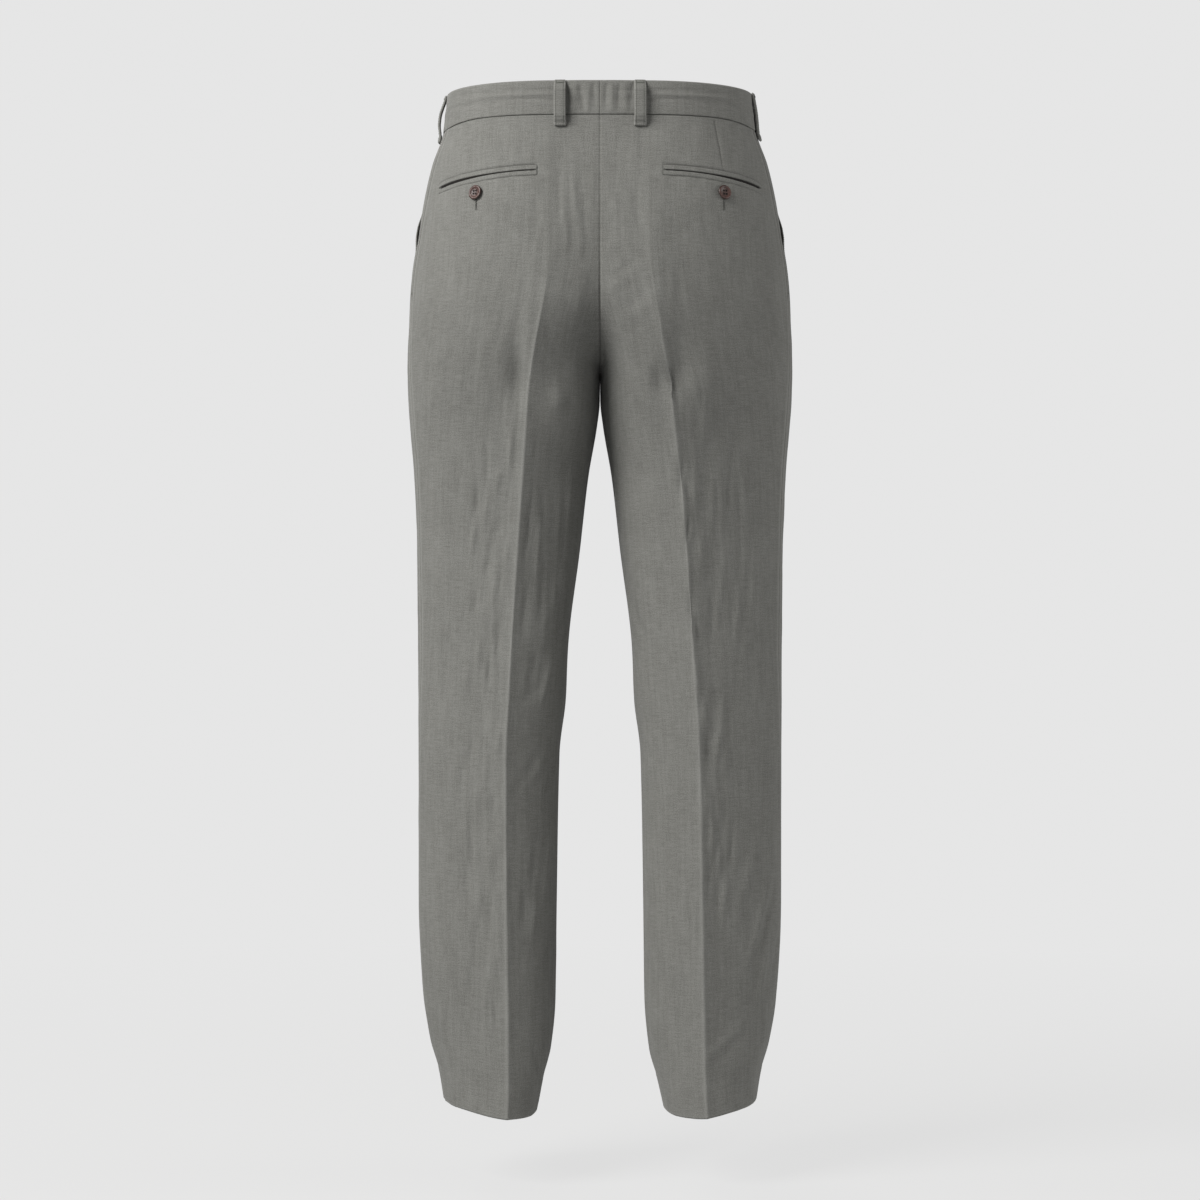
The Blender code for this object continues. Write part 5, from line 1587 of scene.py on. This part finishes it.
HOLE_STITCH = {"Pitch": 0.34 * MM, "Length": 0.85 * MM, "Thread": 0.12 * MM, "Turn": math.pi / 2}


def line_on(grid, alongs, drops, lift=0.12):
    """A sewing line on a piece; either list may be one number."""
    alongs, drops = np.broadcast_arrays(np.atleast_1d(alongs), np.atleast_1d(drops))
    return grid.trace(alongs, drops, lift)


def bar(grid, along, drop, width=0.0, depth=0.0):
    """A short bar tack, level or upright."""
    share = np.linspace(-0.5, 0.5, 6)
    return line_on(grid, along + width * share, drop + depth * share, 0.2)


def mouth_along(leg, drop):
    """Distance along of a slant pocket's mouth on the front panel."""
    return outline(leg, drop)[2]["side_seam"] + mouth_inset(drop)


for leg in ("left", "right"):
    back, front = FACE["back", leg], FACE["front", leg]
    lines, bars = [], []
    for place in ("back", "side", "front"):
        grid = FACE["loop_" + place, leg]
        drops = np.linspace(LOOP_STITCH_ENDS[0], LOOP_LENGTHS[place] - LOOP_STITCH_ENDS[1], 60)
        lines += [line_on(grid, side, drops, 0.05) for side in (-LOOP_STITCH, LOOP_STITCH)]
        bars.append(bar(grid, 0.0, LOOP_TACK_DROP, LOOP_TACK_WIDE))
    sew("stitches_loops_" + leg, lines, leg, SEWING, **EDGE_STITCH)
    for place, grid in (("back", back), ("front", front)):
        start, end = BAND_STITCH_ENDS[place]
        alongs = np.linspace(grid.along[0, 0] + start, grid.along[0, -1] - end, 260)
        line = line_on(grid, alongs, BAND_DEPTH + BAND_STITCH_BELOW, 0.1)
        sew("stitches_band_" + place + "_" + leg, [line], leg, SEWING, **BAND_STITCH)
    drops = np.linspace(*MOUTH_STITCH_DROPS, 160)
    mouths = np.array([mouth_along(leg, drop) for drop in drops])
    line = line_on(front, mouths + MOUTH_STITCH_IN, drops)
    sew("stitches_mouth_" + leg, [line], leg, SEWING, **EDGE_STITCH)
    for drop in MOUTH_TACK_DROPS:
        bars.append(bar(front, mouth_along(leg, drop) + MOUTH_TACK_IN, drop, MOUTH_TACK_WIDE))
    for along in (POCKET_INNER + POCKET_TACK_IN, POCKET_OUTER - POCKET_TACK_IN):
        bars.append(bar(back, along, float(pocket_line(along)), 0.0, POCKET_TACK_LONG))
    sew("bar_tacks_" + leg, bars, leg, SEWING, **TACK)

front = FACE["front", "left"]
straight = np.linspace(FLY_START_DROP, FLY_TURN_DROP, 60)
turn = np.linspace(0.0, math.pi / 2, 50)[1:]
fly_drops = np.concatenate((straight, FLY_TURN_DROP + (FLY_END_DROP - FLY_TURN_DROP) * np.sin(turn)))
curved = FLY_STITCH_TIP + (FLY_STITCH_IN - FLY_STITCH_TIP) * np.cos(turn)
fly_in = np.concatenate((np.full(len(straight), FLY_STITCH_IN), curved))
fly_edge = np.array([outline("left", drop)[2]["inner_front"] for drop in fly_drops])
sew("stitches_fly", [line_on(front, fly_edge - fly_in, fly_drops)], "left", SEWING, **EDGE_STITCH)
fly_tack = bar(front, float(fly_edge[-1]) - FLY_TACK_IN, FLY_END_DROP - 1.0, 0.0, FLY_TACK_LONG)
sew("bar_tack_fly", [fly_tack], "left", SEWING, **TACK)
print("stitched pieces:", sum(name.startswith(("stitches", "bar")) for name in PIECES))

# %% [markdown]
# ## Buttons and buttonholes
#
# The buttons are turned: a dished face inside a raised rim, pierced by four holes. A lathed
# profile makes the body, and four flared pins cut the holes, so their edges are eased. Two bars of
# thread cross the dish. Under each back button runs an upright keyhole buttonhole, a cut edged
# with close stitches; the waist button has a level one in the tab.

# %% Make the buttons
BUTTON_RADIUS, BUTTON_SHANK, BUTTON_SIDES, BUTTON_SHARP = 7.6, 0.8, 64, math.radians(40.0)
# The ranges for the holes and the rim, and RIM_SHADE, set where a button gets painted shade.
HOLE_STEP, HOLE_SIDES, HOLE_PAINTED_SHADE, RIM_PAINTED_SHADE, RIM_SHADE = 1.6, 16, (1.05, 1.25), (6.6, 7.5), 0.6
BACK_BUTTON_ALONG, BACK_BUTTON_DROP, TAB_BUTTON_FROM_END = 130.0, 114.5, 14.0
# Turned profiles from the middle of the face to the middle of the back: radius and level.
BUTTON_PROFILE = ((0.0, 1.75), (3.3, 1.75), (4.1, 1.85), (4.8, 2.25), (5.4, 2.68), (6.0, 2.8), (6.6, 2.74),
                  (7.15, 2.45), (7.5, 1.95), (7.6, 1.4), (7.45, 0.9), (6.9, 0.45), (5.6, 0.1), (0.0, 0.0))
PIN_PROFILE = ((0.0, 4.0), (1.4, 4.0), (1.4, 2.3), (1.2, 1.95), (1.05, 1.65), (1.05, 0.3), (1.2, -0.2),
               (1.2, -1.0), (0.0, -1.0))
# The thread: its bars' distance from a row of holes, their arc over the dish, and the shank.
BAR_APART, BAR_RADIUS, BAR_LOW, BAR_RISE, BAR_POWER, BAR_POINTS = 0.17, 0.13, 1.15, 0.78, 0.6, 12
SHANK_RADIUS, SHANK_LEVELS = 0.5, (1.5, 0.6, -0.2, -1.0)


def lathed(name, profile, sides):
    """A closed body turned about the z axis from (radius, level) pairs in millimetres."""
    work = bmesh.new()
    line = [work.verts.new((radius * MM, 0.0, rise * MM)) for radius, rise in profile]
    edges = [work.edges.new(pair) for pair in zip(line, line[1:])]
    bmesh.ops.spin(work, geom=line + edges, cent=(0, 0, 0), axis=(0, 0, 1), angle=math.tau, steps=sides,
                   use_merge=True)
    bmesh.ops.remove_doubles(work, verts=work.verts, dist=1e-6)
    bmesh.ops.recalc_face_normals(work, faces=work.faces)
    return mesh_from(name, work)


def button_shade(place):
    """Painted shade on a button: 0 on its face, 1 down in its holes and round its outer edge."""
    hole = math.hypot(abs(place.x) - HOLE_STEP, abs(place.y) - HOLE_STEP)
    rim = math.hypot(place.x, place.y)
    return float(max(1.0 - ease(hole, *HOLE_PAINTED_SHADE), RIM_SHADE * ease(rim, *RIM_PAINTED_SHADE)))


def pins_for_holes(name):
    """Four pins, one for each hole."""
    work = bmesh.new()
    for x, y in ((-1, -1), (-1, 1), (1, -1), (1, 1)):
        pin = lathed(name, PIN_PROFILE, HOLE_SIDES)
        pin.transform(Matrix.Translation((x * HOLE_STEP * MM, y * HOLE_STEP * MM, 0.0)))
        work.from_mesh(pin)
        bpy.data.meshes.remove(pin)
    return mesh_from(name, work)


def button(name, point, normal, leg):
    """A four-hole button standing on its seat; gives back the matrix of its place."""
    body = placed(name, lathed(name, BUTTON_PROFILE, BUTTON_SIDES))
    pins = placed(name + "_pins", pins_for_holes(name + "_pins"))
    cut = body.modifiers.new("holes", "BOOLEAN")
    cut.object = pins
    cut.operation = "DIFFERENCE"
    cut.solver = "EXACT"
    pierced = worked_out(body)
    bpy.data.objects.remove(body)
    bpy.data.objects.remove(pins)
    side = OTHER_SIDE if leg == "right" else np.ones(3)
    seat = seat_matrix((point + normal * BUTTON_SHANK * MM) * side, normal * side)
    # Painted shade down in the holes and round the rim.
    painted_and_worn = pierced.attributes.new("wear_and_painted_light", "FLOAT", "POINT")
    painted_and_worn.data.foreach_set("value", [button_shade(corner.co / MM) for corner in pierced.vertices])
    pierced.transform(seat)
    pierced.shade_smooth()
    pierced.set_sharp_from_angle(angle=BUTTON_SHARP)
    pierced.materials.clear()
    pierced.materials.append(RESIN)
    PIECES[name] = placed(name, pierced)
    return seat


def seat_matrix(point, normal):
    """The world matrix of a thing at a point, its z axis along the normal and its x axis level."""
    level_way = np.cross((0.0, 0.0, 1.0), normal)
    level_way /= np.linalg.norm(level_way)
    turned = np.eye(4)
    turned[:3, 0], turned[:3, 1] = level_way, np.cross(normal, level_way)
    turned[:3, 2], turned[:3, 3] = normal, point
    return Matrix(turned.tolist())


def button_thread(name, seat):
    """Two bars of thread across the dish, and the shank that they make under the button."""
    share = np.linspace(0.0, 1.0, BAR_POINTS)
    x = HOLE_STEP * (2.0 * share - 1.0)
    z = BAR_LOW + BAR_RISE * np.sin(math.pi * share) ** BAR_POWER
    work = bmesh.new()
    for row in (-1.0, 1.0):
        for shift in (-BAR_APART, BAR_APART):
            y = np.full(BAR_POINTS, row * HOLE_STEP + shift)
            tube_along(work, np.stack((x, y, z), axis=1), BAR_RADIUS)
    for x in (-1.0, 1.0):
        for y in (-1.0, 1.0):
            down = np.array([(x * HOLE_STEP, y * HOLE_STEP, z) for z in SHANK_LEVELS])
            tube_along(work, down, SHANK_RADIUS)
    bmesh.ops.recalc_face_normals(work, faces=work.faces)
    mesh = mesh_from(name, work)
    mesh.transform(seat)
    mesh.shade_smooth()
    mesh.materials.append(BUTTON_THREAD)
    PIECES[name] = placed(name, mesh)


def tube_along(work, line, radius, sides=8):
    """A capped tube along points in millimetres."""
    ways = np.gradient(line, axis=0)
    ways /= np.linalg.norm(ways, axis=1)[:, None]
    rings = []
    for place, forward in zip(line, ways):
        aside = np.cross(forward, (0.0, 1.0, 0.0))
        aside /= np.linalg.norm(aside)
        up = np.cross(aside, forward)
        ring = []
        for angle in np.linspace(0.0, math.tau, sides, endpoint=False):
            out = math.cos(angle) * aside + math.sin(angle) * up
            ring.append(work.verts.new((place + radius * out) * MM))
        rings.append(ring)
    for ring, after in zip(rings, rings[1:]):
        for i in range(sides):
            work.faces.new((ring[i], ring[(i + 1) % sides], after[(i + 1) % sides], after[i]))
    work.faces.new(rings[0])
    work.faces.new(rings[-1])


HOLE_LENGTH, HOLE_EYE, HOLE_EDGE, HOLE_EYE_SHARE, HOLE_OFFSET = 15.0, 1.3, 0.62, 0.6, 2.0
# The cut is drawn as a thin sheet coloured with near-black painted shade.
CUT_START, CUT_POINTS, CUT_WIDTHS, CUT_WALL, CUT_SHADE = 0.3, 24, (-0.17, 0.0, 0.17), 0.06, -1.8


def buttonhole(name, leg, grid, start, step):
    """A keyhole buttonhole: close stitches round a cut that runs from start along step, in mm; the cut is
    a thin sheet of near-black painted shade.
    """
    start, step = np.array(start), np.array(step)
    side = np.array((-step[1], step[0]))
    reach = np.linspace(0.0, HOLE_LENGTH, 30)
    right = [start + step * r + side * HOLE_EDGE for r in reach]
    left = [start + step * r - side * HOLE_EDGE for r in reach]
    eye = start + step * (HOLE_LENGTH + HOLE_EYE * HOLE_EYE_SHARE)
    ring = [eye - step * HOLE_EYE * math.sin(a) + side * HOLE_EYE * math.cos(a)
            for a in np.linspace(0.0, math.pi, 14)]
    round_line = np.array(right + ring + left[::-1])
    line = line_on(grid, round_line[:, 0], round_line[:, 1])
    sew(name, [line], leg, HOLE_THREAD, **HOLE_STITCH)
    cut = np.array([start + step * r for r in np.linspace(CUT_START, HOLE_LENGTH + HOLE_EYE, CUT_POINTS)])
    points, normals = line_on(grid, cut[:, 0], cut[:, 1], 0.05)
    aside = np.cross(normals, np.gradient(points, axis=0))
    aside /= np.linalg.norm(aside, axis=1)[:, None]
    widths = np.array(CUT_WIDTHS)
    outer = points[None] + aside[None] * widths[:, None, None] * MM
    along = np.tile(np.arange(float(CUT_POINTS)), (len(widths), 1))
    slit = Grid(outer, np.broadcast_to(normals, outer.shape).copy(), along, widths)
    # A thin sheet of painted shade in the cut.
    piece = shell(name + "_cut", slit, CUT_WALL, leg == "right", (), np.full(along.shape, CUT_SHADE))
    piece.data.materials.append(LINEN)
    PIECES[name + "_cut"] = piece


for leg in ("left", "right"):
    point, normal = PLAIN["back", leg].at(BACK_BUTTON_ALONG, BACK_BUTTON_DROP)
    seat = button("button_back_" + leg + "_turned", point, normal, leg)
    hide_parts("button_back_" + leg)
    button_thread("button_thread_back_" + leg, seat)
    below = (BACK_BUTTON_ALONG, BACK_BUTTON_DROP + HOLE_OFFSET)
    buttonhole("buttonhole_back_" + leg, leg, FACE["back", leg], below, (0.0, 1.0))

middle = BAND_DEPTH / 2
button_along = outline("left", middle)[2]["inner_front"] + TAB_LENGTH - TAB_BUTTON_FROM_END
point, normal = PLAIN["band", "left"].at(button_along, middle)
seat = button("button_waist_turned", point, normal, "left")
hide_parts("button_waist")
button_thread("button_thread_waist", seat)
beside = (button_along - HOLE_OFFSET, middle)
buttonhole("buttonhole_waist", "left", FACE["band", "left"], beside, (-1.0, 0.0))
print("buttons: 3, each", 2 * BUTTON_RADIUS, "mm across")

# %% [markdown]
# ## Ride on the frame's body
#
# Every piece rides on the one body of the frame. For each cloth piece, the width, length and area
# that it is cut to before it is sewn are then looked up.

# %% Rides and cut sizes
for name, piece in PIECES.items():
    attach(piece, "root")

for leg in ("left", "right"):
    band = ["cloth_waistband_" + leg]
    welts = [PIECES["cloth_welt_" + side + "_" + leg] for side in ("upper", "lower")]
    sheets = (("back_", "hung", band, welts), ("front_", "hung", band, []),
              ("hip_facing_", "hung", band, []), ("waistband_", "folded", [], []),
              ("belt_loop_back_", "folded", band, []), ("belt_loop_side_", "folded", band, []),
              ("belt_loop_front_", "folded", band, []))
    for start, held, under, carried in sheets:
        name = "cloth_" + start + leg
        width, length, area = CUTS[name]
print("sheets:", len(CUTS))

# %% [markdown]
# ## Camera, floor and light
#
# The garment is seen straight from behind, from a distance that keeps the perspective mild. The
# floor is a wide pale disc whose far part glows with exactly the colour of the backdrop, so no
# horizon shows. The strongest of three large soft lights stands to the side of the left leg, behind
# the garment and above it. It shapes the creases and folds. A weaker one from the other side keeps
# the turned-away flanks readable, one more lights the front, and the dim surroundings do the rest.

# %% Camera
VIEW_DISTANCE, LENS, SENSOR, HORIZON_DROP = 3.5, 100.0, 36.0, 528.6
camera_data = bpy.data.cameras.new("camera")
camera_data.lens = LENS
camera_data.sensor_width = SENSOR
camera = placed("camera", camera_data)
camera.location = (0.0, VIEW_DISTANCE, (BAND_DEPTH / 2 - HORIZON_DROP) * MM)
camera.rotation_euler = (math.radians(90.0), 0.0, math.radians(180.0))
bpy.context.scene.camera = camera
print("camera:", VIEW_DISTANCE, "m behind the garment")

# %% Floor
BACKDROP, FLOOR_LIGHT, FLOOR_LEVEL, FLOOR_REACH = 0.79, 0.35, -1.115, 40.0
FLOOR_FADE, FLOOR_GLOW, FLOOR_TONES = (1.2, 2.6), 0.87, (0.80, 0.82)
work = bmesh.new()
bmesh.ops.create_circle(work, cap_ends=True, segments=96, radius=FLOOR_REACH)
floor_mesh = mesh_from("floor", work)
floor_mesh.transform(Matrix.Translation((0.0, 0.0, FLOOR_LEVEL)))
floor = placed("floor", floor_mesh)

pale = Finish("pale_floor", 0.9)
place = pale.node("ShaderNodeTexCoord").outputs["Object"]
distance = pale.node("ShaderNodeVectorMath", operation="LENGTH")
pale.put(distance.inputs[0], place)
grain = pale.noise(place, 3.0)
pale.shade(Specular_IOR_Level=0.0,
           Base_Color=pale.mix(grain, *((tone, tone, tone) for tone in FLOOR_TONES)))
glow = pale.node("ShaderNodeEmission")
glow.inputs["Color"].default_value = (1.0, 1.0, 1.0, 1.0)
seen_directly = pale.node("ShaderNodeLightPath").outputs["Is Camera Ray"]
pale.put(glow.inputs["Strength"], pale.ramp(seen_directly, 0.0, 1.0, FLOOR_LIGHT, BACKDROP))
far = pale.ramp(distance.outputs["Value"], *FLOOR_FADE, FLOOR_GLOW, 1.0)
blend = pale.node("ShaderNodeMixShader")
blended = pale.filled(blend, (far, pale.shader.outputs[0], glow.outputs[0]))
pale.put(pale.tree.nodes["Material Output"].inputs["Surface"], blended)
floor_mesh.materials.append(pale.material)
print("floor at", FLOOR_LEVEL, "m")

# %% Surroundings
AROUND, AROUND_COLOUR = 0.157, (1.0, 0.995, 0.985, 1.0)
world = bpy.data.worlds.new("studio")
bpy.context.scene.world = world
world.use_nodes = True
sky = world.node_tree
around, seen = sky.nodes["Background"], sky.nodes.new("ShaderNodeBackground")
seen.inputs["Color"].default_value = (BACKDROP, BACKDROP, BACKDROP, 1.0)
around.inputs["Color"].default_value = AROUND_COLOUR
around.inputs["Strength"].default_value = AROUND
ray, either = sky.nodes.new("ShaderNodeLightPath"), sky.nodes.new("ShaderNodeMixShader")
given = (ray.outputs["Is Camera Ray"], around.outputs[0], seen.outputs[0])
for output, entry in zip(given, either.inputs):
    sky.links.new(output, entry)
sky.links.new(either.outputs[0], sky.nodes["World Output"].inputs["Surface"])
print("surroundings:", AROUND)


# %% Lights
LIT, LIGHT_AWAY, LIGHT_SIZE, LIGHT_COLOUR = Vector((0.0, 0.0, -0.5)), 4.0, 2.2, (1.0, 0.99, 0.97)
# Azimuth 0 is behind the garment and 90 at its left side; the last number is in watts.
LIGHTS = (("key", 50.0, 35.0, 159.0), ("fill", -85.0, 10.0, 47.0), ("front", 160.0, 25.0, 55.0))


def soft_light(name, azimuth, elevation, watts):
    """A square soft light turned to the garment."""
    data = bpy.data.lights.new(name, "AREA")
    data.size = LIGHT_SIZE
    data.energy = watts
    data.color = LIGHT_COLOUR
    turn, rise = math.radians(azimuth), math.radians(elevation)
    level_share = math.cos(rise)
    way_out = Vector((math.sin(turn) * level_share, math.cos(turn) * level_share, math.sin(rise)))
    lamp = placed(name, data)
    lamp.location = LIT + way_out * LIGHT_AWAY
    lamp.rotation_euler = (-way_out).to_track_quat("-Z", "Y").to_euler()


for row in LIGHTS:
    soft_light(*row)
bpy.context.scene.view_settings.view_transform = "Standard"
print("lights:", [row[0] for row in LIGHTS])

# %% Measure and finish
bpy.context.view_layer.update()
triangles = {name: sum(len(face.vertices) - 2 for face in piece.data.polygons)
             for name, piece in PIECES.items()}
print("triangles:", sum(triangles.values()), "in all,", max(triangles.values()), "in the largest piece")
